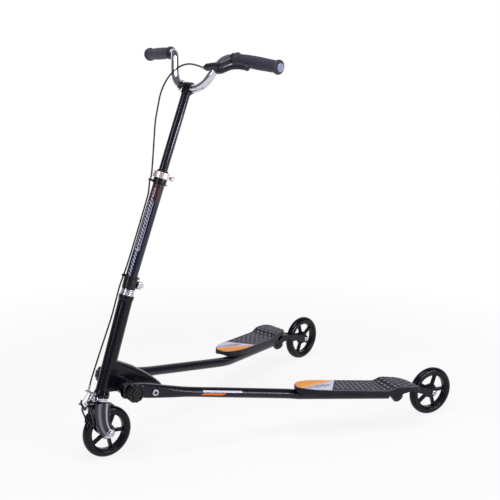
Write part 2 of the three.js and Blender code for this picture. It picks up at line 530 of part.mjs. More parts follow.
// Split collar with two ears behind it, a slot between them and a cross hole for its bolt.
function earClamp(spec, earBottom, earTop, slotHalf, boltBack, boltHeight, boltRadius) {
  const collar = rod(spec.radius, [0, 0, spec.bottom], [0, 0, spec.top]);
  const ears = block([-spec.earBack, -spec.earHalf, earBottom], [0, spec.earHalf, earTop]);
  const bore = rod(spec.bore, [0, 0, -REACH], [0, 0, REACH + spec.top], SIDES.fine);
  const slot = block([-spec.earBack - OVERRUN, -slotHalf, -REACH], [0, slotHalf, REACH + spec.top]);
  const hole = rod(boltRadius + GAP, [-boltBack, -REACH, boltHeight], [-boltBack, REACH, boltHeight], SIDES.small);
  return cut(joined(collar, ears), bore, slot, hole);
}

function crossBolt(spec, earHalf, back, height) {
  const face = earHalf + GAP;
  const [head, nut] = [face + spec.headLength, face + spec.nutLength];
  const shaft = rod(spec.radius, [-back, -nut + OVERRUN, height], [-back, head - OVERRUN, height], SIDES.small);
  const cap = rod(spec.headRadius, [-back, face, height], [-back, head, height]);
  const stop = rod(spec.nutRadius, [-back, -face, height], [-back, -nut, height], SIDES.small);
  return joined(shaft, cap, stop);
}

// Ring around the stem with an eye for the brake cable and a small lug behind.
function cableGuide(spec, place) {
  const [forward, left] = place;
  const reach = Math.hypot(forward, left);
  const turn = Math.atan2(left, forward);
  const low = spec.eyeTop - GUIDE_EYE.thick;
  const collar = rod(spec.radius, [0, 0, spec.bottom], [0, 0, spec.top]);
  const arm = block([0, -GUIDE_EYE.radius, low], [reach, GUIDE_EYE.radius, spec.eyeTop]).rotate([0, 0, turn * 180 / Math.PI]);
  const eye = rod(GUIDE_EYE.radius, [forward, left, low], [forward, left, spec.eyeTop], SIDES.small);
  const lug = block([-spec.lugBack, -GUIDE_EYE.lugHalf, spec.bottom], [0, GUIDE_EYE.lugHalf, spec.bottom + GUIDE_EYE.lugThick]);
  const bore = rod(spec.bore, [0, 0, -REACH], [0, 0, REACH + spec.top], SIDES.fine);
  const hole = rod(GUIDE_EYE.hole, [forward, left, -REACH], [forward, left, REACH + spec.top], SIDES.small);
  return cut(joined(collar, arm, eye, lug), bore, hole);
}

function fender() {
  const arc = (radius, share) => {
    const angle = radians(FENDER.from + (FENDER.to - FENDER.from) * share);
    return [radius * Math.cos(angle), radius * Math.sin(angle)];
  };
  const shares = Array.from({ length: FENDER.steps + 1 }, (_, i) => i / FENDER.steps);
  const outline = [...shares.map((share) => arc(FENDER.outer, share)), ...shares.reverse().map((share) => arc(FENDER.inner, share))];
  return prism(outline, -FENDER.half, FENDER.half);
}

headFrame.add(meshOf('fork', fork(), CAST));
wheelFrame.add(meshOf('front_fender', fender(), PLASTIC));
headFrame.add(meshOf('head_tube', headTube(), PAINT));
headFrame.add(meshOf('lower_headset_cup', ring(HEADSET.bore, LOWER_CUP.radius, CUP.bottom, CUP.top), CHROME));
headFrame.add(meshOf('upper_headset_cup', ring(HEADSET.bore, UPPER_CUP.radius, UPPER_CUP.bottom, UPPER_CUP.top), CHROME));
headFrame.add(meshOf('headset_locknut', locknut(), CHROME));
const stemClamp = earClamp(
  STEM_CLAMP, STEM_EAR.bottom, STEM_EAR.top, STEM_EAR.slotHalf, STEM_EAR.boltBack, STEM_EAR.boltHeight, STEM_BOLT.radius,
);
headFrame.add(meshOf('stem_clamp', stemClamp, PLASTIC));
headFrame.add(meshOf('stem_clamp_bolt', crossBolt(STEM_BOLT, STEM_CLAMP.earHalf, STEM_EAR.boltBack, STEM_EAR.boltHeight), CHROME));
headFrame.add(meshOf('lower_cable_guide', cableGuide(LOW_GUIDE, CABLE_LOW_HEAD[0]), PLASTIC));

// Telescopic stem.

function lowerStem() {
  const stub = rod(LOWER_STEM.radius, [0, 0, LOWER_STEM.stub], [0, 0, BEND.height + OVERRUN], SIDES.fine);
  const stubBore = rod(
    LOWER_STEM.bore, [0, 0, LOWER_STEM.stub - OVERRUN], [0, 0, BEND.height + OVERRUN], SIDES.fine,
  );
  const tube = rod(LOWER_STEM.radius, [0, 0, 0], [0, 0, LOWER_STEM.length], SIDES.fine);
  const bore = rod(LOWER_STEM.bore, [0, 0, -OVERRUN], [0, 0, LOWER_STEM.length + OVERRUN], SIDES.fine);
  return cut(joined(tube, moved(stub, headInStem)), bore, moved(stubBore, headInStem));
}

function sleeve() {
  const outline = [
    [SLEEVE.bore, SLEEVE.bottom], [SLEEVE.radius, SLEEVE.bottom], [SLEEVE.radius, TOP_CLAMP.top + GAP],
    [SLEEVE.flangeRadius, TOP_CLAMP.top + GAP], [SLEEVE.flangeRadius, SLEEVE.flangeTop], [SLEEVE.bore, SLEEVE.flangeTop],
  ];
  return turned(outline);
}

stemFrame.add(meshOf('lower_stem', lowerStem(), STEM_BLACK));
stemFrame.add(meshOf('upper_stem', ring(UPPER_STEM.bore, UPPER_STEM.radius, UPPER_STEM.bottom, UPPER_STEM.top), STEM_BLACK));
stemFrame.add(meshOf('stem_sleeve', sleeve(), PLASTIC));
stemFrame.add(meshOf('upper_cable_guide', cableGuide(TOP_GUIDE, CABLE_LOW_STEM[0]), PLASTIC));
const topClamp = earClamp(
  TOP_CLAMP, TOP_CLAMP.bottom, TOP_CLAMP.top, TOP_EAR.slotHalf, TOP_EAR.boltBack, TOP_EAR.boltHeight, TOP_BOLT.radius,
);
stemFrame.add(meshOf('height_clamp', topClamp, ALLOY));
stemFrame.add(meshOf('height_clamp_bolt', crossBolt(TOP_BOLT, TOP_CLAMP.earHalf, TOP_EAR.boltBack, TOP_EAR.boltHeight), STEEL));

// Handlebar and grips.

const barX = (forward) => forward - BAR.setback;
const barPlace = ([left, rise, forward]) => [barX(forward), left, BAR.height + rise];
const sweptPlace = (left) => {
  const beyond = left - SWEEP.start;
  return barPlace([left, SWEEP.rise - SWEEP.drop * beyond, -SWEEP.back - SWEEP.slope * beyond]);
};

function handlebar() {
  const rise = smooth(BAR_ROUTE.map(barPlace), BAR.samples);
  const half = [...rise, vector(sweptPlace(BAR.end))];
  const other = half.slice(1).map((point) => new THREE.Vector3(point.x, -point.y, point.z)).reverse();
  const route = [...other, ...half];
  const forward = new THREE.Vector3(1, 0, 0);
  const outer = sweep(route, BAR.radius, BAR.radius, SIDES.small, forward);
  const last = route.length - 1;
  const past = route.map((point) => point.clone());
  past[0].addScaledVector(route[0].clone().sub(route[1]).normalize(), PLUG.lip);
  past[last].addScaledVector(route[last].clone().sub(route[last - 1]).normalize(), PLUG.lip);
  return cut(outer, sweep(past, BAR.bore, BAR.bore, SIDES.small, forward));
}

// Cradle under the bar with its socket for the upper stem, and the cap that closes over the bar.
function barClampBody() {
  const [x, z] = [-BAR.setback, BAR.height];
  const tube = rod(BAR_CLAMP.radius, [x, -BAR_CLAMP.half, z], [x, BAR_CLAMP.half, z]);
  const ear = block([x, -BAR_EAR.half, z - BAR_EAR.thick], [x + BAR_EAR.front, BAR_EAR.half, z + BAR_EAR.thick]);
  const bar = rod(BAR_CLAMP.bore, [x, -REACH, z], [x, REACH, z]);
  const hole = rod(BAR_EAR.hole, [x + BAR_EAR.boltFront, 0, -REACH], [x + BAR_EAR.boltFront, 0, REACH + z], SIDES.small);
  return { tube: joined(tube, ear), bar, hole, z };
}

function barCradle() {
  const { tube, bar, hole, z } = barClampBody();
  const neck = rod(BAR_CLAMP.neckRadius, [0, 0, z - BAR_CLAMP.neckDrop], [0, 0, z]);
  const plug = rod(BAR_CLAMP.plug, [0, 0, z - BAR_CLAMP.plugDrop], [0, 0, z]);
  const above = block([-REACH, -REACH, z - BAR_CLAMP.split], [REACH, REACH, REACH + z]);
  return cut(joined(tube, neck, plug), bar, hole, above);
}

function barCap() {
  const { tube, bar, hole, z } = barClampBody();
  return cut(tube, bar, hole, block([-REACH, -REACH, -REACH], [REACH, REACH, z + BAR_CLAMP.split]));
}

function barBolt() {
  const x = barX(BAR_EAR.boltFront);
  const [top, bottom] = [BAR.height + BAR_EAR.thick + GAP, BAR.height - BAR_EAR.thick - GAP];
  const [high, low] = [top + BAR_BOLT.headLength, bottom - BAR_BOLT.headLength];
  const shaft = rod(BAR_BOLT.radius, [x, 0, low + OVERRUN], [x, 0, high - OVERRUN], SIDES.small);
  const head = rod(BAR_BOLT.headRadius, [x, 0, top], [x, 0, high], SIDES.small);
  const nut = rod(BAR_BOLT.headRadius, [x, 0, bottom], [x, 0, low], SIDES.small);
  return joined(shaft, head, nut);
}

// Puts a solid made along +Z from the origin onto the swept end of the bar, from `left` outwards.
function onSweptEnd(solid, left) {
  const start = vector(sweptPlace(left));
  const along = vector(sweptPlace(left + OVERRUN)).sub(start).normalize();
  const turn = new THREE.Quaternion().setFromUnitVectors(new THREE.Vector3(0, 0, 1), along);
  return moved(solid, new THREE.Matrix4().compose(start, turn, new THREE.Vector3(1, 1, 1)));
}

function grip() {
  const { length } = GRIP;
  const outer = GRIP_SHARES.map(([along, radius]) => [GRIP.flange * radius, length * along]);
  return onSweptEnd(turned([[GRIP.bore, 0], ...outer, [GRIP.bore, length]], GRIP.sides), GRIP.start);
}

function plug() {
  const cap = rod(PLUG.radius, [0, 0, 0], [0, 0, PLUG.lip], GRIP.sides);
  const spigot = rod(PLUG.spigot, [0, 0, -PLUG.depth], [0, 0, OVERRUN], SIDES.small);
  return onSweptEnd(joined(cap, spigot), BAR.end + PLUG.beyond);
}

stemFrame.add(meshOf('handlebar', handlebar(), CHROME));
stemFrame.add(meshOf('bar_clamp', barCradle(), PLASTIC));
stemFrame.add(meshOf('bar_clamp_cap', barCap(), PLASTIC));
stemFrame.add(meshOf('bar_clamp_bolt', barBolt(), STEEL));
for (const [label, side] of BOTH) {
  stemFrame.add(meshOf(`${label}_grip`, sided(grip(), side), RUBBER));
  stemFrame.add(meshOf(`${label}_end_plug`, sided(plug(), side), ALLOY));
}

// Brake lever and cable.

function brakeBracket() {
  const { length } = LEVER_CLAMP;
  const strap = onSweptEnd(rod(LEVER_CLAMP.radius, [0, 0, 0], [0, 0, length]), LEVER_CLAMP.start);
  const bore = onSweptEnd(rod(LEVER_CLAMP.bore, [0, 0, -length], [0, 0, 2 * length]), LEVER_CLAMP.start);
  const [x, y, z] = BRACKET.pivot;
  const neck = rod(BRACKET.neckRadius, sweptPlace(BRACKET.neckAt), BRACKET.pivot, SIDES.small);
  const body = rod(BRACKET.radius, BRACKET.pivot, BRACKET.mouth);
  const shoulder = rod(BRACKET.radius, [x, y, LEVER.top + GAP], [x, y, z + BRACKET.radius]);
  const pin = rod(PIVOT_PIN.radius, [x, y, LEVER.bottom - PIVOT_PIN.headLength], [x, y, z], SIDES.small);
  const low = LEVER.bottom - GAP;
  const head = rod(PIVOT_PIN.headRadius, [x, y, low - PIVOT_PIN.headLength], [x, y, low], SIDES.small);
  return cut(joined(strap, neck, body, shoulder, pin, head), bore);
}

function brakeLever() {
  const [x, y] = BRACKET.pivot;
  const boss = rod(LEVER.bossRadius, [x, y, LEVER.bottom], [x, y, LEVER.top]);
  const blade = sweep(smooth(LEVER_ROUTE.map(onBar), SIDES.small), LEVER.half, LEVER.thick, SIDES.small);
  const tip = solidOf(new THREE.SphereGeometry(LEVER.tipRadius, SIDES.small, SIDES.cable).translate(...onBar(LEVER_ROUTE.at(-1))));
  const hole = rod(PIVOT_PIN.hole, [x, y, 0], [x, y, BRACKET.pivot[2]], SIDES.small);
  const above = block([-REACH, -REACH, LEVER.top], [x + LEVER.bossRadius, y + LEVER.bossRadius + BRACKET.radius, REACH + LEVER.top]);
  const below = block([-REACH, -REACH, -REACH], [REACH, y + LEVER.open, LEVER.bottom]);
  return cut(joined(boss, blade, tip), hole, above, below);
}

function adjuster() {
  const mouth = vector(BRACKET.mouth);
  const out = mouth.clone().sub(vector(BRACKET.pivot)).normalize();
  const at = (distance) => mouth.clone().addScaledVector(out, distance).toArray();
  const screw = rod(ADJUSTER.radius, at(GAP), at(ADJUSTER.length), SIDES.small);
  const barrel = rod(ADJUSTER.barrel, at(ADJUSTER.length - ADJUSTER.barrelLength), at(ADJUSTER.length - OVERRUN), SIDES.small);
  return joined(screw, barrel);
}

function lowerCable() {
  const places = [...CABLE_LOW_STEM.map(stemPlace), ...CABLE_LOW_HEAD.map(vector)];
  const route = through(places.map((place) => place.toArray()), CABLE.samples);
  const forward = new THREE.Vector3(1, 0, 0);
  const casing = sweep(route, CABLE.radius, CABLE.radius, SIDES.cable, forward);
  const end = route.at(-1);
  const ferruleTop = [end.x, end.y, end.z + CABLE.ferruleLength];
  return joined(casing, rod(CABLE.ferrule, end.toArray(), ferruleTop, SIDES.small));
}

stemFrame.add(meshOf('brake_bracket', brakeBracket(), PLASTIC));
stemFrame.add(meshOf('brake_lever', brakeLever(), PLASTIC));
stemFrame.add(meshOf('cable_adjuster', adjuster(), STEEL));
const topCable = sweep(smooth(CABLE_TOP_ROUTE, SIDES.fine), CABLE.radius, CABLE.radius, SIDES.cable, new THREE.Vector3(1, 0, 0));
stemFrame.add(meshOf('upper_brake_cable', topCable, CASING));
headFrame.add(meshOf('lower_brake_cable', lowerCable(), CASING));

// Front brake caliper.

function boss(front) {
  return rod(CALIPER.bossRadius, [front, 0, CALIPER.height], [front + CALIPER.bossThick, 0, CALIPER.height]);
}

function armOf(routes, front) {
  const limbs = routes.map((route) => sweep(
    smooth(route, SIDES.small), CALIPER_ARM.half, CALIPER_ARM.thick, SIDES.cable, new THREE.Vector3(1, 0, 0),
  ));
  const hole = rod(CALIPER_ARM.hole, [0, 0, CALIPER.height], [REACH, 0, CALIPER.height], SIDES.small);
  return cut(joined(boss(front), ...limbs), hole);
}

function pad() {
  const outline = PAD.outline.map(([front, up]) => [CALIPER.inner + front, CALIPER.height + up]);
  return prism(outline, PAD.inner, PAD.outer);
}

function caliperBolt() {
  const [start, z] = [CALIPER.inner, CALIPER.height];
  const front = CALIPER.rightFront + CALIPER.bossThick + GAP;
  const shaft = rod(CALIPER_BOLT.radius, [start, 0, z], [front + OVERRUN, 0, z], SIDES.small);
  const spacer = rod(CALIPER_BOLT.spacerRadius, [start, 0, z], [CALIPER.leftFront - GAP, 0, z], SIDES.small);
  const head = rod(CALIPER_BOLT.headRadius, [front, 0, z], [front + CALIPER_BOLT.headLength, 0, z], SIDES.small);
  return joined(shaft, spacer, head);
}

headFrame.add(meshOf('left_caliper_arm', armOf([LEFT_ARM_ROUTE], CALIPER.leftFront), CAST));
headFrame.add(meshOf('right_caliper_arm', armOf([RIGHT_ARM_ROUTE, STOP_ROUTE], CALIPER.rightFront), PLASTIC));
headFrame.add(meshOf('caliper_bolt', caliperBolt(), CHROME));
for (const [label, side] of BOTH) {
  headFrame.add(meshOf(`${label}_brake_pad`, sided(pad(), side), RUBBER));
}

// Gusset and fold joint.

function gussetSkin(inset) {
  const rings = GUSSET_STATIONS.map(([x, half, ...heights]) => {
    const [bottom, edge, crown] = heights.map((height) => GUSSET.foot + height);
    const [wide, low] = [half - inset, inset ? bottom - REACH / 4 : bottom];
    const [brim, top] = [edge - inset / 2, crown - inset];
    const dome = Array.from({ length: SIDES.dome + 1 }, (_, i) => {
      const angle = Math.PI * i / SIDES.dome;
      return new THREE.Vector3(x, wide * Math.cos(angle), brim + (top - brim) * Math.sin(angle));
    });
    return [new THREE.Vector3(x, -wide, low), new THREE.Vector3(x, wide, low), ...dome];
  });
  return rings;
}

function gusset() {
  const outer = loft(gussetSkin(0));
  const inner = loft(gussetSkin(GUSSET.wall).slice(0, -1));
  const place = headFrame.matrixWorld;
  const tube = moved(rod(HEAD.radius + GAP, [0, 0, 0], [0, 0, REACH], SIDES.fine), place);
  const ahead = moved(block([0, -REACH, -REACH], [REACH, REACH, REACH]), place);
  const bore = rod(CROSS.radius + GAP, [FOLD.x, -REACH, FOLD.z], [FOLD.x, REACH, FOLD.z], SIDES.fine);
  return cut(outer, inner, tube, ahead, bore);
}

function crossTube() {
  const [half, web] = [CROSS.half, CROSS.half - CROSS.endThick];
  const outline = [
    [FOLD.bore, -half], [CROSS.radius, -half], [CROSS.radius, half], [FOLD.bore, half],
    [FOLD.bore, web], [CROSS.inner, web], [CROSS.inner, -web], [FOLD.bore, -web],
  ];
  return turned(outline, SIDES.fine).rotate([90, 0, 0]).translate([FOLD.x, 0, FOLD.z]);
}

function knob() {
  const shape = new THREE.Shape();
  const steps = KNOB.lobes * KNOB.steps;
  for (let i = 0; i < steps; i += 1) {
    const angle = 2 * Math.PI * i / steps;
    const radius = KNOB.radius - KNOB.scallop * (1 - Math.cos(KNOB.lobes * angle)) / 2;
    const point = [radius * Math.cos(angle), radius * Math.sin(angle)];
    if (i) {
      shape.lineTo(...point);
    } else {
      shape.moveTo(...point);
    }
  }
  const body = prism(shape, KNOB.collar, KNOB.outer, KNOB_FACE.bevel);
  const collar = rod(KNOB.collarRadius, [0, KNOB.inner, 0], [0, KNOB.collar + OVERRUN, 0]);
  const groove = ring(KNOB_FACE.ringInner, KNOB_FACE.ringOuter, 0, KNOB_FACE.ringDepth + OVERRUN)
    .rotate([90, 0, 0]).translate([0, KNOB.outer + OVERRUN, 0]);
  const bore = rod(FOLD.bore, [0, 0, 0], [0, KNOB_FACE.boreEnd, 0]);
  return cut(joined(body, collar), groove, bore).translate([FOLD.x, 0, FOLD.z]);
}

scooter.add(meshOf('gusset', gusset(), PAINT));
scooter.add(meshOf('cross_tube', crossTube(), PAINT));
const foldAxle = rod(FOLD.axleRadius, [FOLD.x, -FOLD.axleHalf, FOLD.z], [FOLD.x, FOLD.axleHalf, FOLD.z], SIDES.small);
scooter.add(meshOf('fold_axle', foldAxle, STEEL));
for (const [label, side] of BOTH) {
  scooter.add(meshOf(`${label}_fold_knob`, sided(knob(), side), PLASTIC));
}

// Casters.

// Place on the caster, from the wheel's centre: forward, left and up, before the yaw is applied.
const kingpinPlace = (along) => {
  const lean = radians(CASTER.lean);
  return [CASTER.forward + along * Math.sin(lean), 0, -CASTER.drop + along * Math.cos(lean)];
};
const casterMatrix = new THREE.Matrix4()
  .makeTranslation(CASTER.x, CASTER.y, WHEEL.radius)
  .multiply(new THREE.Matrix4().makeRotationZ(-radians(CASTER.yaw)));

function casterFork() {
  const hub = rod(SWIVEL.radius, kingpinPlace(SWIVEL.chamfer), kingpinPlace(SWIVEL.top));
  const foot = rod(SWIVEL.radius - SWIVEL.chamfer, kingpinPlace(0), kingpinPlace(SWIVEL.top));
  const crown = prism(CROWN_PROFILE, -CASTER_FORK.plateOuter, CASTER_FORK.plateOuter);
  const plates = [1, -1].map((side) => {
    const plate = prism(PLATE_PROFILE, CASTER_FORK.plateInner, CASTER_FORK.plateOuter);
    return sided(plate, side);
  });
  const bore = rod(SWIVEL.bore, kingpinPlace(-REACH), kingpinPlace(REACH));
  const housingRoom = rod(SWIVEL.clear, kingpinPlace(SWIVEL.top), kingpinPlace(REACH));
  const axleHole = rod(AXLE.radius + GAP, [0, -REACH, 0], [0, REACH, 0], SIDES.small);
  return cut(joined(hub, foot, crown, ...plates), bore, housingRoom, axleHole);
}

function kingpin() {
  const top = HOUSING.top + GAP;
  const shaft = rod(KINGPIN.radius, kingpinPlace(-KINGPIN.nutLength), kingpinPlace(top + OVERRUN), SIDES.small);
  const head = rod(KINGPIN.headRadius, kingpinPlace(top), kingpinPlace(top + KINGPIN.headLength), SIDES.small);
  const nut = rod(KINGPIN.nutRadius, kingpinPlace(-KINGPIN.nutLength), kingpinPlace(-GAP), SIDES.small);
  return joined(shaft, head, nut);
}

for (const [label, side] of BOTH) {
  const casterFrame = new THREE.Group();
  casterFrame.position.set(CASTER.x, side * CASTER.y, WHEEL.radius);
  casterFrame.rotation.z = -side * radians(CASTER.yaw);
  scooter.add(casterFrame);
  casterFrame.add(meshOf(`${label}_caster_fork`, casterFork(), PLASTIC));
  casterFrame.add(meshOf(`${label}_kingpin`, kingpin(), STEEL));
  const turn = side > 0 ? TURN.left : TURN.right;
  addWheel(casterFrame, `${label}_rear`, turn, CASTER_FORK.plateInner, CASTER_FORK.plateOuter);
}

// Arms.

// Rounded-square ring across the arm, turned to the arm's heading.
function armRing([x, y, half, height, square], heading, inset, z = ARM.z + ARM.slope * (x - ARM.restX)) {
  const power = 2 / square;
  const [across, forward] = [Math.cos(heading), Math.sin(heading)];
  return Array.from({ length: ARM.points }, (_, k) => {
    const angle = 2 * Math.PI * k / ARM.points;
    const [c, s] = [Math.cos(angle), Math.sin(angle)];
    const wide = Math.sign(c) * Math.abs(c) ** power * (half - inset);
    return new THREE.Vector3(x + wide * forward, y + wide * across, z + Math.sign(s) * Math.abs(s) ** power * (height - inset));
  });
}

function armRings(inset) {
  const rows = ARM_STATIONS;
  const rings = rows.map((row, i) => {
    const [a, b] = [rows[Math.max(i - 1, 0)], rows[Math.min(i + 1, rows.length - 1)]];
    const heading = i < 4 ? 0 : Math.atan2(b[1] - a[1], a[0] - b[0]);
    return armRing(row, heading, inset);
  });
  const [x, y, half, height, square] = rows[rows.length - 1];
  const heading = Math.atan2(ARM_END.y - y, x - ARM_END.x);
  const share = inset ? ARM_END.hollowShare : 1;
  const between = (from, to) => from + (to - from) * share;
  const end = [between(x, ARM_END.x), between(y, ARM_END.y), half, height, square];
  return [...rings, armRing(end, heading, inset, between(ARM.z + ARM.slope * (x - ARM.restX), ARM_END.z))];
}

// Middle of the arm's outer face beside the arm bolt, and the way that face looks.
function armBoltFrame() {
  const row = ARM_STATIONS.findIndex(([x]) => x < ARM_BOLT.x);
  const [a, b] = [ARM_STATIONS[row - 1], ARM_STATIONS[row]];
  const share = (a[0] - ARM_BOLT.x) / (a[0] - b[0]);
  const [y, half] = [1, 2].map((k) => a[k] + (b[k] - a[k]) * share);
  const heading = Math.atan2(b[1] - a[1], a[0] - b[0]);
  const out = new THREE.Vector3(Math.sin(heading), Math.cos(heading), 0);
  const middle = new THREE.Vector3(ARM_BOLT.x, y, ARM.z + ARM.slope * (ARM_BOLT.x - ARM.restX));
  const at = (distance) => middle.clone().addScaledVector(out, distance).toArray();
  return { at, half };
}

function arm() {
  const outer = loft(armRings(0));
  const [first, ...rest] = armRings(ARM.wall);
  const opening = first.map((point) => point.clone().add(new THREE.Vector3(ARM.wall * 2, 0, 0)));
  const inner = loft([opening, first, ...rest]);
  const housing = moved(rod(HOUSING.radius, kingpinPlace(HOUSING.bottom), kingpinPlace(HOUSING.top)), casterMatrix);
  const bore = moved(rod(SWIVEL.bore, kingpinPlace(-REACH), kingpinPlace(REACH), SIDES.small), casterMatrix);
  const swivelRoom = moved(rod(SWIVEL.radius + RUN, kingpinPlace(-REACH), kingpinPlace(HOUSING.bottom)), casterMatrix);
  const axleHole = rod(FOLD.bore, [FOLD.x, 0, FOLD.z], [FOLD.x, REACH, FOLD.z], SIDES.small);
  const { at, half } = armBoltFrame();
  const boltHole = rod(ARM_BOLT.hole, at(-2 * half), at(2 * half), SIDES.small);
  return cut(joined(cut(outer, inner), housing), bore, swivelRoom, axleHole, boltHole);
}

function armBolt() {
  const { at, half } = armBoltFrame();
  const face = half + 2 * GAP;
  const shaft = rod(ARM_BOLT.radius, at(-face - ARM_BOLT.headLength + OVERRUN), at(face + OVERRUN), SIDES.small);
  const head = rod(ARM_BOLT.headRadius, at(face), at(face + ARM_BOLT.headLength));
  const socket = rod(ARM_SOCKET.radius, at(face + ARM_BOLT.headLength - ARM_SOCKET.depth), at(REACH), SIDES.hex);
  const nut = rod(ARM_BOLT.nutRadius, at(-face), at(-face - ARM_BOLT.headLength), SIDES.small);
  return cut(joined(shaft, head, nut), socket);
}

for (const [label, side] of BOTH) {
  scooter.add(meshOf(`${label}_arm`, sided(arm(), side), PAINT));
  scooter.add(meshOf(`${label}_arm_bolt`, sided(armBolt(), side), CHROME));
}

// Footboards.

function deckRing([along, half, height, depth], inset, skin, low) {
  const [wide, top] = [half - inset, height - skin];
  const brim = top - (skin ? 0 : DECK.lip);
  const flat = wide - (skin ? 0 : DECK.lip);
  const bottom = height - depth - low;
  const outline = [[-wide, bottom], [wide, bottom], [wide, brim], [flat, top], [0, top], [-flat, top], [-wide, brim]];
  const skew = DECK_SKEW.share * THREE.MathUtils.smoothstep(along, DECK_SKEW.start, DECK_SKEW.end);
  return outline.map(([y, z]) => new THREE.Vector3(-along - skew * y, y, z));
}

function deckRow(along) {
  const next = DECK_STATIONS.findIndex(([place]) => place >= along);
  const [a, b] = [DECK_STATIONS[next - 1], DECK_STATIONS[next]];
  const share = (along - a[0]) / (b[0] - a[0]);
  return a.map((value, k) => value + (b[k] - value) * share);
}

function footboard() {
  const shell = loft(DECK_STATIONS.map((row) => deckRing(row, 0, 0, 0)));
  const pockets = POCKETS.map(([from, to]) => {
    const inside = DECK_STATIONS.filter(([along]) => along > from && along < to);
    const rows = [deckRow(from), ...inside, deckRow(to)];
    return loft(rows.map((row) => deckRing(row, DECK.wall, DECK.skin, DECK.below)));
  });
  const place = new THREE.Matrix4().makeTranslation(DECK.x, DECK.y, DECK.z);
  place.multiply(new THREE.Matrix4().makeRotationZ(-radians(DECK_TURN.heading)));
  place.multiply(new THREE.Matrix4().makeRotationY(-radians(DECK_TURN.fall)));
  place.multiply(new THREE.Matrix4().makeRotationX(radians(DECK_TURN.roll)));
  return moved(cut(shell, ...pockets), place);
}

for (const [label, side] of BOTH) {
  scooter.add(meshOf(`${label}_footboard`, sided(footboard(), side), BOARD));
}

// The finished part stands with its origin at the middle of its box's underside.
scooter.updateMatrixWorld(true);
const box = new THREE.Box3().setFromObject(scooter, true);
const middle = box.getCenter(new THREE.Vector3());
scooter.position.set(-middle.x, -middle.y, -box.min.z);
scooter.updateMatrixWorld(true);

export default scooter;
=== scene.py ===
import math

import bpy
import numpy as np
from mathutils import Matrix, Vector


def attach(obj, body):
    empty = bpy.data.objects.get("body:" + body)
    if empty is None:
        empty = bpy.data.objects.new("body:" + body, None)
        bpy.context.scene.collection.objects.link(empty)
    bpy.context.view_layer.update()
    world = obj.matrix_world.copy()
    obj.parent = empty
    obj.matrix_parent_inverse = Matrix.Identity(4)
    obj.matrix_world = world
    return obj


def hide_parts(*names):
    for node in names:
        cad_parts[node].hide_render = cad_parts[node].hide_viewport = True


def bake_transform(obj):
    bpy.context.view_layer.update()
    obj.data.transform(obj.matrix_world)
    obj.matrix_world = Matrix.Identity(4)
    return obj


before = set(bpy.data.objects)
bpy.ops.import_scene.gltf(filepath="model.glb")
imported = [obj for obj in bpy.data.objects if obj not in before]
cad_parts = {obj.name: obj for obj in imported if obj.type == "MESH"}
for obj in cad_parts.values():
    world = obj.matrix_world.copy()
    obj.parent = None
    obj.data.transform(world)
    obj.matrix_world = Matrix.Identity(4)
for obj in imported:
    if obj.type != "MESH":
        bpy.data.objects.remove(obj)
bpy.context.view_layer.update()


# The scooter is seen from its front left corner, from a little above the footboards, through a
# long lens that leans by half a degree.
def added(name, data):
    """New object of the scene around a mesh, a lamp or a lens."""
    thing = bpy.data.objects.new(name, data)
    bpy.context.scene.collection.objects.link(thing)
    return thing


eye = Vector((1.74856, 2.334, 1.238))
aim = Vector((-0.01329, 0, 0.51169))
ahead = (aim - eye).normalized()
level = ahead.cross(Vector((0, 0, 1))).normalized()
lean = math.radians(0.56)
right = level * math.cos(lean) + level.cross(ahead) * math.sin(lean)
axes = Matrix((right, right.cross(ahead), -ahead)).transposed()
lens = bpy.data.cameras.new("photo_camera")
lens.lens = 75.07
lens.sensor_width = 36
lens.clip_end = 60
camera = added("photo_camera", lens)
camera.matrix_world = Matrix.Translation(eye) @ axes.to_4x4()
bpy.context.scene.camera = camera


# It stands on a sheet of white paper that curves up behind it into a wall, in a dim room. Soft
# boxes above and on both sides draw the pale lines on the tubes, and a low strip those on the tyres.
def wire(tree, node, inputs):
    """Gives inputs of a node, by label or by place, a value or a link from a socket."""
    for label, value in inputs.items():
        if isinstance(value, bpy.types.NodeSocket):
            tree.links.new(value, node.inputs[label])
        else:
            node.inputs[label].default_value = value
    return node


def shading(tree, kind, inputs=(), **settings):
    """New shader node with its settings made and its inputs wired."""
    node = tree.nodes.new("ShaderNode" + kind)
    for label, value in settings.items():
        setattr(node, label, value)
    return wire(tree, node, dict(inputs))


def paper_material():
    """White card, lit by the lamps. For rays from the lens, and for mirrored and refracted ones, a share of
    it is plain white, which grows from 0.86 near the scooter to 1 at 1.6 m from it."""
    paper = bpy.data.materials.new("paper_sheet")
    paper.use_nodes = True
    tree = paper.node_tree
    tree.nodes.clear()
    rays = shading(tree, "LightPath").outputs
    seen = rays["Is Camera Ray"]
    for label in ("Is Glossy Ray", "Is Transmission Ray"):
        seen = shading(tree, "Math", {0: seen, 1: rays[label]}, operation="MAXIMUM").outputs[0]
    spot = shading(tree, "NewGeometry").outputs["Position"]
    far = shading(tree, "VectorMath", {0: spot}, operation="LENGTH").outputs["Value"]
    steps = {"Value": far, "From Min": 0.9, "From Max": 1.6, "To Min": 0.86, "To Max": 1}
    white = shading(tree, "MapRange", steps).outputs[0]
    share = shading(tree, "Math", {0: seen, 1: white}, operation="MULTIPLY")
    matt = shading(tree, "BsdfDiffuse", {"Color": (0.85, 0.85, 0.86, 1)})
    glow = shading(tree, "Emission")
    mixed = shading(tree, "MixShader", {0: share.outputs[0], 1: matt.outputs[0], 2: glow.outputs[0]})
    shading(tree, "OutputMaterial", {"Surface": mixed.outputs[0]})
    return paper


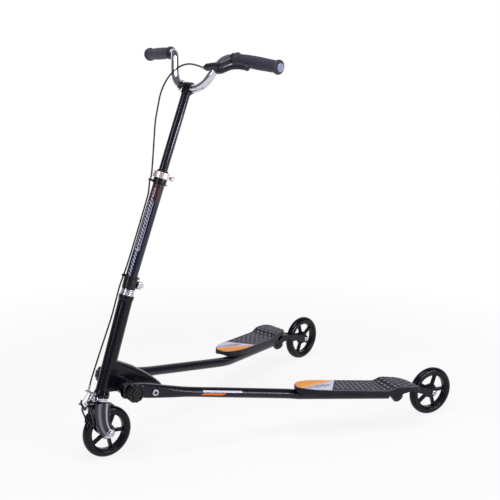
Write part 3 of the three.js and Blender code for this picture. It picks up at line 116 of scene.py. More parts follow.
def paper_sheet(behind=4.6, bend=1.2, top=5.0, half=8.0, before=4.0):
    """Sheet facing the lens: flat ground, a quarter circle of radius `bend` and a wall."""
    a = np.linspace(0, np.pi / 2, 25)
    run = np.concatenate([[-before], behind + bend * np.sin(a), [behind + bend]])
    below_wheels = 0.0005
    rise = np.concatenate([[0], bend - bend * np.cos(a), [top]]) - below_wheels
    back = ahead.xy.normalized()
    across = Vector((-back.y, back.x))
    points = [(*(back * u + across * v), z) for u, z in zip(run, rise) for v in (-half, half)]
    mesh = bpy.data.meshes.new("paper_sheet")
    mesh.from_pydata(points, [], [(2 * k, 2 * k + 1, 2 * k + 3, 2 * k + 2) for k in range(len(run) - 1)])
    mesh.polygons.foreach_set("use_smooth", [True] * len(mesh.polygons))
    mesh.materials.append(paper_material())
    sheet = added("paper_sheet", mesh)


bpy.context.scene.view_settings.view_transform = "Standard"
world = bpy.data.worlds.new("dim_room")
world.use_nodes = True
bpy.context.scene.world = world
wire(world.node_tree, world.node_tree.nodes["Background"], {"Color": (0.86, 0.9, 1, 1), "Strength": 0.2})
paper_sheet()
for name, place, target, width, height, power, tint in (
    ("box_above", (0.3, 0.5, 3), (0, 0, 0.3), 2, 1.4, 48, (0.96, 0.96, 1)),
    ("box_left_of_lens", (2.9, 0.5, 1.7), (0.2, 0, 0.5), 0.26, 2, 24, (0.92, 0.92, 1)),
    ("box_right_of_lens", (-1.2, 3.2, 1.5), (-0.1, 0, 0.4), 0.3, 1.8, 15, (0.92, 0.92, 1)),
    ("low_strip", (-1.1, 2.9, 0.87), (-0.5, 0, 0.1), 2, 0.2, 46, (0.9, 0.9, 1)),
):
    lamp = bpy.data.lights.new(name, "AREA")
    lamp.shape = "RECTANGLE"
    lamp.size, lamp.size_y = width, height
    lamp.energy, lamp.color = power, tint
    holder = added(name, lamp)
    holder.location = place
    holder.rotation_euler = (Vector(target) - Vector(place)).to_track_quat("-Z", "Y").to_euler()


# Front wheel: a polyurethane tyre cast around a moulded five-spoke core, which turns on two
# ball bearings. Small plugs of the core show as pale dots in the tyre's walls.
def skin(rows, looped=False):
    """Closed shell (points, quads, end faces) over rows of rings. Quad (i, j) joins rows i and i + 1 and
    columns j and j + 1, columns close on themselves, rows too when looped, else one face closes each end.
    The faces are turned so that the sum of a . (b x c) over their triangles is positive."""
    rows = np.asarray(rows, float)
    count, width = rows.shape[:2]
    i = np.arange(count if looped else count - 1)[:, None]
    j = np.arange(width)[None, :]
    low, high, near, far = i * width, (i + 1) % count * width, j, (j + 1) % width
    quads = np.stack([low + near, low + far, high + far, high + near], -1).reshape(-1, 4)
    ends = [] if looped else [np.arange(width)[::-1], np.arange(width) + (count - 1) * width]
    points = rows.reshape(-1, 3)
    fans = [np.stack([np.full(width - 2, e[0]), e[1:-1], e[2:]], -1) for e in ends]
    corners = (points - points.mean(0))[np.vstack([quads[:, :3], quads[:, [0, 2, 3]], *fans])]
    if (corners[:, 0] * np.cross(corners[:, 1], corners[:, 2])).sum() < 0:
        quads, ends = quads[:, ::-1], [e[::-1] for e in ends]
    return points, quads, ends


def moved(shell, matrix):
    """The shell with its points p put at M p."""
    points, quads, ends = shell
    return points @ matrix[:3, :3].T + matrix[:3, 3], quads, ends


def mirrored(shell):
    """The shell on the other side of the scooter: y becomes -y, and each face is reversed."""
    points, quads, ends = shell
    return points * [1, -1, 1], quads[:, ::-1], [e[::-1] for e in ends]


def together(*shells):
    """One shell from several, the indices of each moved past those before it."""
    starts = np.cumsum([0] + [len(points) for points, _, _ in shells])
    quads = [quads + start for (_, quads, _), start in zip(shells, starts)]
    ends = [e + start for (_, _, all_ends), start in zip(shells, starts) for e in all_ends]
    return np.vstack([points for points, _, _ in shells]), np.vstack(quads), ends


def full_turn(sides):
    """Equal steps of angle round a circle."""
    return np.linspace(0, 2 * np.pi, sides, endpoint=False)


def circled(radius, angle, height):
    """Points (r cos a, r sin a, h)."""
    return np.stack([radius * np.cos(angle), radius * np.sin(angle), height + 0 * angle], -1)


def arc(radius, start, end, count):
    """Points (r cos a, r sin a) between two angles."""
    return circled(radius, np.linspace(start, end, count), 0)[:, :2]


def oblong(near, far, low, high):
    """Outline of a rectangle."""
    return np.array([(near, low), (far, low), (far, high), (near, high)], float)


def softened(outline, reach, steps=4, closed=True):
    """Outline with rounded corners. From a, `reach` before a corner c, to b, as far behind it, runs the
    parabola (1 - t)^2 a + 2 t (1 - t) c + t^2 b. No more than 0.45 of a side is used up."""
    p = np.asarray(outline, float)
    back, on = np.roll(p, 1, 0) - p, np.roll(p, -1, 0) - p
    back_length, on_length = np.linalg.norm(back, axis=1), np.linalg.norm(on, axis=1)
    used = np.minimum(reach, 0.45 * np.minimum(back_length, on_length))[:, None]
    a, b = p + back / back_length[:, None] * used, p + on / on_length[:, None] * used
    t = np.linspace(0, 1, steps + 1)[:, None, None]
    curve = ((1 - t) ** 2 * a + 2 * t * (1 - t) * p + t**2 * b).transpose(1, 0, 2)
    if closed:
        return curve.reshape(-1, p.shape[1])
    return np.vstack([p[:1], curve[1:-1].reshape(-1, p.shape[1]), p[-1:]])


def turned(profile, sides=72, looped=True):
    """Rows of (radius, height) turned about +Z."""
    radius, height = np.asarray(profile, float).T[:, :, None]
    return skin(circled(radius, full_turn(sides), height), looped)


def ring(profile, edge, sides=96, steps=3):
    """Hollow turned piece: its wall's section, with softened corners, turned about +Z."""
    return turned(softened(profile, edge, steps), sides)


def solid(profile, edge, sides=48):
    """Solid turned piece: a line from the axis out and back to it, with softened corners, turned about +Z."""
    return turned(softened(profile, edge, 3, False), sides, False)


def smooth_path(places, steps):
    """Centripetal Catmull-Rom curve through the places. Between p1 and p2 it is the cubic with end slopes
    m1 and m2, where m = (b - a)/d1 - (c - a)/(d1 + d2) + (c - b)/d2 and d is the root of a distance."""
    p = np.asarray(places, float)
    p = np.vstack([2 * p[0] - p[1], p, 2 * p[-1] - p[-2]])
    d = np.sqrt(np.linalg.norm(np.diff(p, axis=0), axis=1))[:, None]
    slope = (p[1:-1] - p[:-2]) / d[:-1] - (p[2:] - p[:-2]) / (d[:-1] + d[1:]) + (p[2:] - p[1:-1]) / d[1:]
    start, end, m1, m2 = p[1:-2], p[2:-1], slope[:-1] * d[1:-1], slope[1:] * d[1:-1]
    t = np.linspace(0, 1, steps, endpoint=False)[:, None, None]
    on = end - start
    curve = start + t * m1 + t**2 * (3 * on - 2 * m1 - m2) + t**3 * (m1 + m2 - 2 * on)
    return np.vstack([curve.transpose(1, 0, 2).reshape(-1, p.shape[1]), p[-2:-1]])


def shifted(x=0, y=0, z=0):
    """Matrix of a plain move."""
    matrix = np.eye(4)
    matrix[:3, 3] = x, y, z
    return matrix


def spun(angle):
    """Matrix of a turn about Z."""
    matrix = np.eye(4)
    matrix[:2, :2] = [[math.cos(angle), -math.sin(angle)], [math.sin(angle), math.cos(angle)]]
    return matrix


def new_group(name, inputs, output):
    """Node group with inputs of given kinds and outputs that are numbers; its nodes for both come with it."""
    group = bpy.data.node_groups.new(name, "ShaderNodeTree")
    for label, kind in inputs.items():
        group.interface.new_socket(label, in_out="INPUT", socket_type="NodeSocket" + kind)
    for label in output:
        group.interface.new_socket(label, in_out="OUTPUT", socket_type="NodeSocketFloat")
    return group, group.nodes.new("NodeGroupInput").outputs, group.nodes.new("NodeGroupOutput")


def grain_group():
    """Group of two noises on object coordinates: Grain is fine and Cloud is thirty times as wide."""
    group, given, result = new_group(
        "surface_grain", {"Vector": "Vector", "Scale": "Float", "Stretch": "Vector"}, ("Grain", "Cloud"),
    )
    drawn = shading(group, "VectorMath", {0: given["Vector"], 1: given["Stretch"]}, operation="MULTIPLY")
    wide = shading(group, "Math", {0: given["Scale"], 1: 1 / 30}, operation="MULTIPLY")
    for label, scale, detail in (("Grain", given["Scale"], 3), ("Cloud", wide.outputs[0], 2)):
        noise = shading(group, "TexNoise", {"Detail": detail, "Vector": drawn.outputs[0], "Scale": scale})
        wire(group, result, {label: noise.outputs["Fac"]})
    return group


grain = grain_group()


def finish(slot, name, colour, rough, metal=0, gloss=0.25, scale=900, relief=0.06, tone=0.25, along=1):
    """Procedural finish, tagged with its slot. Its colour runs between two tones of the same colour,
    its roughness by a quarter up and down, and its relief follows the grain, finer along Z if asked."""
    made = bpy.data.materials.new(name)
    made.use_nodes = True
    made["slot"] = slot
    net = made.node_tree
    where = shading(net, "TexCoord").outputs["Object"]
    grain_values = {"Vector": where, "Scale": scale, "Stretch": (1, 1, along)}
    speck = shading(net, "Group", grain_values, node_tree=grain).outputs
    dark, light = ((*[min(1, c * share) for c in colour], 1) for share in (1 - tone, 1 + tone))
    shade = shading(net, "Mix", {0: speck["Grain"], 6: dark, 7: light}, data_type="RGBA")
    dull_values = {"Value": speck["Cloud"], "To Min": rough * 0.75, "To Max": min(1, rough * 1.25)}
    dull = shading(net, "MapRange", dull_values)
    bump = shading(net, "Bump", {"Strength": relief, "Distance": 0.001, "Height": speck["Grain"]})
    wire(net, net.nodes["Principled BSDF"], {
        "Metallic": metal, "Specular IOR Level": gloss, "Base Color": shade.outputs[2],
        "Roughness": dull.outputs[0], "Normal": bump.outputs[0],
    })
    return made


def piece(name, shell, made_of, body, *stands_for, at=np.eye(4), sharp=34, **marks):
    """Puts a shell in millimetres into the scene, smooth but for edges sharper than `sharp` degrees. It
    rides on a body, if given, and stands for CAD nodes. Marks are numbers or vectors of its points."""
    points, quads, ends = moved(shell, at)
    metres = 0.001
    mesh = bpy.data.meshes.new(name)
    mesh.from_pydata((points * metres).tolist(), [], quads.tolist() + [e.tolist() for e in ends])
    mesh.polygons.foreach_set("use_smooth", np.ones(len(mesh.polygons), bool))
    mesh.set_sharp_from_angle(angle=math.radians(sharp))
    for label, values in marks.items():
        kind, field = (("FLOAT", "value"), ("FLOAT_VECTOR", "vector"))[np.ndim(values) - 1]
        mesh.attributes.new(label, kind, "POINT").data.foreach_set(field, np.ravel(values))
    mesh.materials.append(made_of)
    held = added(name, mesh)
    if body:
        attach(held, body)
    if stands_for:
        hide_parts(*stands_for)
    return held


def wheel_place(x, y, z, yaw=0):
    """Matrix of a wheel with its axle along Z, turned by yaw degrees about the vertical."""
    a = math.radians(yaw)
    return np.array([
        [math.cos(a), 0, -math.sin(a), x], [math.sin(a), 0, math.cos(a), y], [0, -1, 0, z], [0, 0, 0, 1.0],
    ])


def tyre_shell():
    """Closed section of (radius, half width): flat on its seat, bulging walls, crowned tread."""
    stations = [(54.2, 9.6), (56, 11.1), (60, 12), (65, 11.4), (69.2, 8.9), (71.7, 5), (wheel_radius, 0)]
    wall = smooth_path(stations, 6)
    return turned(np.vstack([wall, wall[-2::-1] * [1, -1]]), 160)


def dots_shell(count=24, radius=60.6, size=1.25, wall=11.9):
    """Ends of small plugs, nearly flush with both walls of the tyre, 15 degrees apart."""
    dome = turned([(0.05, 0.09), (size * 0.55, 0.085), (size * 0.9, 0.04), (size, -0.6)], 12, False)
    flip = np.diag([1.0, -1, -1, 1])
    shells = []
    for a in np.arange(count) * 2 * np.pi / count:
        put = shifted(radius * math.cos(a), radius * math.sin(a), wall)
        shells += [moved(dome, put), moved(dome, flip @ put)]
    return together(*shells)


def spoked_core(turn, windows=5, half=4.6, near=21.5, far=49.5, spoke=4.5, corner=5.5):
    """Web with five openings. An opening is bounded by two lines parallel to the spokes and two arcs, with
    its corners softened, and rings of quads run from it to the middle lines of the spokes around it, found
    by dividing its (radius, angle) by the larger of the two. Each spoke has a shallow channel there."""
    edge = np.pi / windows
    low, high = edge - math.asin(spoke / near), edge - math.asin(spoke / far)
    outline = np.vstack([arc(far, -high, high, 9), arc(near, low, -low, 5)])
    reach = np.full(len(outline), 1.0)
    reach[[0, 8]] = corner * 1.6
    reach[[9, 13]] = corner
    path = softened(outline, reach, 5)
    radius, angle = np.linalg.norm(path, axis=1), np.arctan2(path[:, 1], path[:, 0])
    middle, span = 35.0, 17.5
    u, v = (radius - middle) / span, angle / edge
    largest = np.maximum(abs(u), abs(v))
    rim_radius, rim_angle = middle + span * u / largest, edge * v / largest
    channel = ((1, 2.2), (0.75, 2.1), (0.55, 0.5), (0.4, 0), (0.12, 0), (0.03, 0.3), (0, 1.2))
    rows = [circled(radius + (rim_radius - radius) * out, angle + (rim_angle - angle) * out, half - drop)
            for out, drop in channel]
    rows += [row * [1, 1, -1] for row in rows[::-1]]
    sector = skin(rows, looped=True)
    turns = math.radians(turn) + 2 * np.pi * (np.arange(windows) + 0.5) / windows
    sectors = [moved(sector, spun(a)) for a in turns]
    rim = ring([(49.4, -7.4), (51.6, -9.4), (53.9, -9.4), (53.9, 9.4), (51.6, 9.4), (49.4, 7.4)], 0.8, 120)
    boss = [(11.1, -9.6), (12.4, -11), (17, -11), (19.4, -4), (19.4, 4), (17, 11), (12.4, 11), (11.1, 9.6)]
    return together(*sectors, rim, ring(boss, 1, 72))


def bearing_shell(reach):
    """Two shielded races and the spacer between them, out to the fork at `reach`."""
    one_end = [
        (4.3, reach), (6.1, reach), (6.1, 11), (7.4, 11), (7.5, 10.3), (9.4, 10.3), (9.5, 11), (10.7, 11),
    ]
    return ring([*one_end, *[(r, -h) for r, h in one_end[::-1]]], 0.25, 56, 2)


def six_sides(corner, angle):
    """Distance to the sides of a hexagon: r cos 30 / cos(a mod 60 - 30), with r out to its corners."""
    return corner * math.cos(np.pi / 6) / np.cos(angle % (np.pi / 3) - np.pi / 6)


def screw_rows(socket, hexagon, outside, edge):
    """Rings of a screw about +Z: a socket's, whose radii are shares of the distance to a hexagon's sides,
    then round ones along a softened line outside it."""
    angle = full_turn(72)
    rows = [circled(six_sides(socket, angle) * share, angle, h) for share, h in hexagon]
    return np.array(rows + [circled(r, angle, h) for r, h in softened(outside, edge, 3, False)])


def axle_shell(face, length=4.6, radius=7.6, socket=3.4, depth=2.6):
    """Shaft with a domed head at each end, and a hexagonal socket in each head."""
    top = face + length
    hexagon = [(0.02, top - depth), (0.98, top - depth), (1, top - depth + 0.1), (1, top)]
    head = [(5.2, top), (radius - 0.4, top - 0.9), (radius, face + 0.6), (radius - 0.6, face), (3.9, face)]
    rows = screw_rows(socket, hexagon, head, 0.5)
    return skin(np.vstack([rows, rows[::-1] * [1, 1, -1]]))


wheel_radius = 72.5
front_x = 468.556
tyre_rubber = finish(
    "wheel_tyre", "cast_tyre", (0.003, 0.003, 0.007), 0.12, gloss=0.2, scale=300, relief=0.002,
)
core_plastic = finish(
    "black_plastic", "moulded_core", (0.004, 0.004, 0.007), 0.25, gloss=0.2, scale=1200, relief=0.015,
)
bearing_steel = finish("steel", "bearing_steel", (0.55, 0.55, 0.6), 0.25, metal=1, scale=1500, relief=0.01)
pale_dot = finish("black_plastic", "tyre_dot", (0.45, 0.45, 0.55), 0.25, gloss=0.5, relief=0.005)


def wheel(label, body, place, turn, inner, outer, axle_body):
    """The four pieces of a wheel between two fork faces, `inner` and `outer` from its middle."""
    play = 0.3
    piece(f"{label}_tyre_cast", tyre_shell(), tyre_rubber, body, f"{label}_tyre", at=place, sharp=60)
    piece(f"{label}_tyre_dots", dots_shell(), pale_dot, body, at=place, sharp=60)
    piece(f"{label}_core_moulding", spoked_core(turn), core_plastic, body, f"{label}_wheel_core", at=place)
    bearings, axle = bearing_shell(inner - play), axle_shell(outer + play)
    piece(f"{label}_bearing_pair", bearings, bearing_steel, body, f"{label}_bearings", at=place)
    piece(f"{label}_axle_bolt", axle, bearing_steel, axle_body, f"{label}_axle", at=place)


front_place = wheel_place(front_x, 0, wheel_radius)
wheel("front", "front_wheel", front_place, turn=30, inner=14.5, outer=22, axle_body="steering")


# Fork: one casting of polished alloy, its colour painted dark as a painted reflection of a dim room. Two
# blades, each with a groove between two ridges on its outer face, run up from the axle eyes into a crown,
# and the steerer goes up through the head tube. The ridges and the axle bosses carry painted highlights.
def leaning(degrees, x, z):
    """Matrix of an axis that leans back from a place on the middle plane of the scooter."""
    a = math.radians(degrees)
    return np.array([
        [math.cos(a), 0, -math.sin(a), x], [0, 1, 0, 0], [math.sin(a), 0, math.cos(a), z], [0, 0, 0, 1.0],
    ])


def between(start, end):
    """Matrix that puts +Z along the line from start to end, with its origin at start."""
    start = np.asarray(start, float)
    turn = Vector(np.asarray(end, float) - start).to_track_quat("Z", "Y").to_matrix()
    matrix = np.eye(4)
    matrix[:3, :3], matrix[:3, 3] = np.array(turn), start
    return matrix


def tube(start, end, outer, inner, edge=0.4, sides=64):
    """Hollow round tube: a wall section turned about its own line."""
    length = np.linalg.norm(np.asarray(end, float) - start)
    return moved(ring(oblong(inner, outer, 0, length), edge, sides), between(start, end))


def slab(outline, low, high, edge=1.0, steps=3):
    """Solid of an X-Z outline between two Y planes. Ring k is drawn in by edge (1 - sin a) along the mean of
    its sides' normals and lies edge (1 - cos a) inside the plane, so the rims are rounded."""
    p = np.asarray(outline, float)
    on = np.roll(p, -1, 0) - p
    on /= np.linalg.norm(on, axis=1)[:, None]
    back = np.roll(on, 1, 0)
    area = np.sum(p[:, 0] * np.roll(p[:, 1], -1) - p[:, 1] * np.roll(p[:, 0], -1))
    inward = np.stack([-(on + back)[:, 1], (on + back)[:, 0]], -1) * np.sign(area)
    inward /= np.maximum(np.sum(inward**2, axis=1), 1.2)[:, None] / 2
    a = np.linspace(0, np.pi / 2, steps + 1)
    inset = np.concatenate([edge * (1 - np.sin(a)), edge * (1 - np.sin(a[::-1]))])
    y = np.concatenate([low + edge * (1 - np.cos(a)), high - edge * (1 - np.cos(a[::-1]))])
    rings = p + inset[:, None, None] * inward
    return skin(np.stack([rings[..., 0], y[:, None] + 0 * rings[..., 0], rings[..., 1]], -1))


def ramp(x, start, end):
    """Rises from 0 at start to 1 at end, on a straight line."""
    return np.clip((x - start) / (end - start), 0, 1)


def bell(x, middle, width):
    """Bell curve exp(-((x - middle) / width)^2)."""
    return np.exp(-(((x - middle) / width) ** 2))


def rounding(distance, reach):
    """Depth e (1 - sqrt(1 - (1 - d/e)^2)) of a rounded rim at a distance d < e inside its edge."""
    return reach * (1 - np.sqrt(1 - np.clip(1 - distance / reach, 0, 1) ** 2))


def blade_shell(inner=14.5, outer=21.9):
    """Blade between two edge curves; s runs along it and t across it. The outer face lies at outer -
    grooves(t) fade(s) - sunk(s, t), rounded to 3 mm at its rims. Up to about s = 0.3 it is the axle's boss.
    Also gives each point's painted highlight: the boss, and the ridges beside the groove."""
    rear = smooth_path([
        (2, -12.8), (-4.5, -11.9), (-9.2, -9), (-12.6, -1), (-11, 6), (-7.2, 15.4), (-2.5, 27), (-0.1, 40.4),
        (-0.6, 60), (-1.6, 74), (-2.5, 83),
    ], 8)
    front = smooth_path([
        (4, -12.8), (9, -12.4), (16.6, -9.5), (22, -4.6), (27.4, 1.4), (34.3, 11.5), (39, 23), (42.8, 37),
        (45.2, 51.7), (46.5, 72), (42.8, 95.4),
    ], 8)
    t = 0.5 - 0.5 * np.cos(np.linspace(0, np.pi, 57))
    across = rear[:, None] * (1 - t[:, None]) + front[:, None] * t[:, None]
    s = np.linspace(0, 1, len(rear))[:, None]
    width = np.linalg.norm(front - rear, axis=1)[:, None]
    fade = ramp(s, 0.2, 0.38) ** 2 * ramp(s, 0.93, 0.86)
    grooves = 2.8 * (bell(t, 0.47, 0.1) + 0.7 * bell(t, 0.1, 0.05))
    d = np.minimum(t, 1 - t) * width
    rim = rounding(d, 3)
    boss = ramp(s, 0.34, 0.24)
    sunk = (1 - boss) * (0.4 + 4.5 * (t - 0.5) ** 2) * ramp(d, 0, 4)
    out = np.stack([across[..., 0], outer - grooves * fade - rim - sunk, across[..., 1]], -1)
    back = np.stack([across[..., 0], inner + rim * 0.3, across[..., 1]], -1)[:, ::-1]
    # Painted highlights: the ridges beside the groove and the boss are marked paler.
    ridge_highlights = 0.8 * bell(t, 0.25, 0.05) + 0.3 * bell(t, 0.7, 0.09)
    polish = np.maximum(boss, ridge_highlights)
    return skin(np.concatenate([out, back], 1)), np.concatenate([polish, 0 * polish], 1).ravel()


def over_base(made_of, share, colour):
    """Lays another colour over a finish's base colour, by a share from a socket."""
    net = made_of.node_tree
    base = net.nodes["Principled BSDF"].inputs["Base Color"]
    ink = shading(net, "Mix", {0: share, 6: base.links[0].from_socket, 7: (*colour, 1)}, data_type="RGBA")
    net.links.new(ink.outputs[2], base)


def painted_highlight_over(made_of, label, colour):
    """Paints highlights: lays a paler colour over the base colour by a number that the mesh holds for each
    point.
    """
    mark = shading(made_of.node_tree, "Attribute", attribute_name=label)
    over_base(made_of, mark.outputs["Fac"], colour)


head = leaning(17.7, 517.356, wheel_radius)
at_wheel = shifted(front_x, 0, wheel_radius)
# The fork's alloy is painted near black, a painted reflection of a dim room; polished_casting below is the
# same alloy in its own pale colour.
shade_painted_alloy = finish(
    "cast_alloy", "dark_polished_casting", (0.045, 0.045, 0.06), 0.17, metal=1, scale=500, relief=0.012,
)
# Painted highlights on the blades' ridges and bosses: a paler colour laid on by a mark on each point.
painted_highlight_over(shade_painted_alloy, "polish", (0.62, 0.62, 0.68))
cast_alloy = finish(
    "cast_alloy", "polished_casting", (0.5, 0.5, 0.56), 0.2, metal=1, scale=500, relief=0.012, tone=0.15,
)
over_wheel = arc(79.2, math.radians(53), math.radians(92.5), 14)
crown_line = np.vstack([over_wheel, [(-2.8, 83), (20, 89), (42.8, 95.4), (45.6, 82), (46.5, 72)]])
crown = slab(crown_line, -17.4, 17.4, edge=2.4, steps=4)
blade, polish = blade_shell()
race = tube((0, 0, 92), (0, 0, 98.1), outer=17.6, inner=11.9, edge=0.8)
steerer = together(race, tube((0, 0, 92), (0, 0, 436), outer=14.3, inner=11.8))
casting = together(moved(together(crown, blade, mirrored(blade)), at_wheel), moved(steerer, head))
# Painted highlight marks for every point of the casting. Only the blades carry any.
painted_highlights_of_casting = np.zeros(len(casting[0]))
painted_highlights_of_casting[len(crown[0]):len(crown[0]) + 2 * len(polish)] = np.tile(polish, 2)
piece("fork_casting", casting, shade_painted_alloy, "steering", "fork", sharp=40, polish=painted_highlights_of_casting)
eye_line = [
    (4.2, 20), (12.4, 20), (12.4, 22.3), (10.8, 22.3), (10.2, 20.8), (8.6, 20.8), (8.2, 22), (4.2, 22),
]
eye_face = moved(ring(eye_line, 0.4, 72), wheel_place(0, 0, 0))
piece("fork_eye_faces", together(eye_face, mirrored(eye_face)), cast_alloy, "steering", at=at_wheel)

# Front fender: a short curved strip of black plastic over the back of the front wheel, held
# under the fork crown.
black_plastic = finish(
    "black_plastic", "moulded_black", (0.006, 0.006, 0.009), 0.3, gloss=0.3, scale=1400, relief=0.025,
)
strip = softened(oblong(76.2, 78.4, -13.4, 13.4), 0.7, 3)
sweep_angle = np.radians(np.linspace(40, 103, 48))[:, None]
fender = circled(strip[:, 0], sweep_angle, strip[:, 1])[..., [0, 2, 1]]
piece("fender_strip", skin(fender), black_plastic, "steering", "front_fender", at=at_wheel)


# Side-pull caliper: two black arms cross on one bolt in front of the crown. Their lower ends carry
# rubber pads. A polished strip on the right arm holds the cable casing, and the wire pulls the horn.
def rod(start, end, radius, edge=0.6, sides=48):
    """Solid round rod with rounded rims: a rectangle turned about its own line."""
    length = np.linalg.norm(np.asarray(end, float) - start)
    rim = [(0.02, 0), (radius, 0), (radius, length), (0.02, length)]
    return moved(solid(rim, edge, sides), between(start, end))


def swept(path, half, thick=None, sides=20, side=(0, 0, 1)):
    """Rings of an oval bar along a path. With the path's direction w, across = side x w and over = w x
    across, its points are p + across thick cos a + over half sin a."""
    path = np.asarray(path, float)
    along = np.gradient(path, axis=0)
    along /= np.linalg.norm(along, axis=1)[:, None]
    across = np.cross(np.asarray(side, float), along)
    across /= np.linalg.norm(across, axis=1)[:, None]
    over = np.cross(along, across)
    half = np.broadcast_to(half, len(path))[:, None, None]
    thick = half if thick is None else np.broadcast_to(thick, len(path))[:, None, None]
    a = full_turn(sides)[None, :, None]
    return path[:, None] + across[:, None] * thick * np.cos(a) + over[:, None] * half * np.sin(a)


def bar(route, half, thick, taper=0.95):
    """Curved flat bar through a route, its two ends rounded off over the last few stations."""
    path = smooth_path(route, 10)
    s = np.linspace(0, 1, len(path))
    ends = np.sqrt(np.clip(np.minimum(s, 1 - s) / 0.03, 0.02, 1)) * (1 - (1 - taper) * s)
    return skin(swept(path, half * ends, thick * ends, side=(1, 0, 0)))


def pair(name, shell, made_of, body, node, at=np.eye(4), **more):
    """The left piece and its mirrored right one, each on its own side's body if there are two."""
    shell = moved(shell, at)
    for side, half in (("left", shell), ("right", mirrored(shell))):
        nodes = [f"{side}_{node}"] if node else []
        piece(f"{side}_{name}", half, made_of, body.replace("left", side), *nodes, **more)


satin_black = finish(
    "black_metal", "satin_black_steel", (0.006, 0.006, 0.009), 0.28, gloss=0.35, scale=800, relief=0.015,
)
chrome = finish(
    "chrome", "chrome_plate", (0.62, 0.62, 0.68), 0.07, metal=1, scale=700, relief=0.0015, tone=0.08,
)
pad_rubber = finish("grip_rubber", "brake_block", (0.012, 0.012, 0.015), 0.7, scale=1500, relief=0.2)
bolt_up = 84
boss_radius = 8
left_boss = rod((26.6, 0, bolt_up), (31.6, 0, bolt_up), boss_radius, 0.9)
left_route = [
    (29.1, 6, 104), (29.1, 3, 95), (29.1, 0, bolt_up), (28.6, 13, 76), (26, 21, 62), (19.5, 22.4, 48),
    (13.5, 22.2, 35),
]
left_lever = together(left_boss, bar(left_route, 2.4, 4.6, 0.85))
piece("left_caliper_lever", left_lever, satin_black, "left_caliper", "left_caliper_arm", at=head)
right_boss = rod((33.4, 0, bolt_up), (38.4, 0, bolt_up), boss_radius, 0.9)
right_route = [
    (35.9, 0, bolt_up), (34, -6, 69), (33, -14, 67), (33, -23, 68), (30, -26.5, 60), (20.5, -23.8, 46),
    (13.5, -22.2, 35),
]
horn_route = [(33, -8, 67), (33.5, -18, 69.5), (34.5, -27, 74), (35, -32, 79), (35, -33, 86)]
right_lever = together(right_boss, bar(right_route, 2.4, 4.2, 0.85), bar(horn_route, 3, 4, 0.8))
piece("right_caliper_lever", right_lever, satin_black, "right_caliper", "right_caliper_arm", at=head)
strip_route = [(27, 17, 118.5), (28, 8, 116.5), (29.6, -10, 115), (30, -22, 114), (30, -34, 112)]
post_route = [(36.6, 0, 88), (34.5, -2, 98), (31, -4, 108), (29.5, -6, 116)]
barrel = rod((28, 7.7, 99), (28, 7.7, 112), 4.6, 1)
cross_rod = rod((36, -4, 82.6), (28, 19, 92.4), 1.3, 0.3)
knuckle = rod((24, 14.6, 99.2), (31, 14.6, 99.2), 3, 0.8)
wire_nut = rod((35, -32.6, 74), (41, -34, 74), 3.4, 0.8)
bare_wire = rod((34, -27, 86), (29.4, -20.6, 113), 0.8, 0.2)
stop_bars = bar(strip_route, 1.6, 3.4), bar(post_route, 1.8, 4.2)
cable_stop = together(*stop_bars, barrel, cross_rod, knuckle, wire_nut, bare_wire)
piece("cable_stop_strip", cable_stop, cast_alloy, "right_caliper", at=head)
bolt_line = [
    (0.05, 23.4), (6, 23.4), (6, 26.3), (3, 26.5), (3, 38.6), (6.2, 38.7), (6.2, 40.4), (5, 43.7),
    (0.05, 43.7),
]
bolt_place = head @ between((0, 0, bolt_up), (1, 0, bolt_up))
piece("caliper_pivot", solid(bolt_line, 0.4), chrome, "steering", "caliper_bolt", at=bolt_place)
block = slab(softened([(5, 28), (19, 28), (22, 42), (11.5, 42)], 1.5), 13.4, 17.2, edge=0.5)
pair("brake_block", block, pad_rubber, "left_caliper", "brake_pad", at=head)

# Head tube: black enamelled steel with a flare at each end, closed by a chromed cup below and
# above, and a double chromed locknut that holds the steerer.
enamel = finish("gloss_paint", "black_enamel", (0.004, 0.004, 0.008), 0.2, scale=260, relief=0.003, tone=0.2)
head_line = [
    (17, 108.6), (22, 108.6), (22, 118.6), (19, 126.6), (19, 376.7), (20.8, 384.7), (20.8, 391.7),
    (17, 391.7),
]
flare = [0.5, 1, 2.5, 6]
head_tube = ring(head_line, flare + flare[::-1], steps=5)
piece("head_tube_shell", head_tube, enamel, "front_frame", "head_tube", at=head)
low_cup = [
    (14.7, 98.4), (18.8, 98.4), (20.4, 100), (20.4, 103.4), (19.5, 104), (20.4, 104.6), (20.4, 108.3),
    (14.7, 108.3),
]
piece("lower_race_cup", ring(low_cup, 0.6), chrome, "front_frame", "lower_headset_cup", at=head)
top_cup = [(14.7, 392), (18.6, 392), (18.6, 396), (17.9, 396.6), (18.6, 397.2), (17.8, 399.6), (14.7, 399.6)]
piece("upper_race_cup", ring(top_cup, 0.5), chrome, "front_frame", "upper_headset_cup", at=head)
nut_line = [(14.7, 400), (17.3, 400), (17.3, 404.2), (16.2, 404.6), (17.3, 405), (17.3, 409.2), (14.7, 409.2)]
piece("double_locknut", ring(nut_line, 0.5), chrome, "steering", "headset_locknut", at=head)


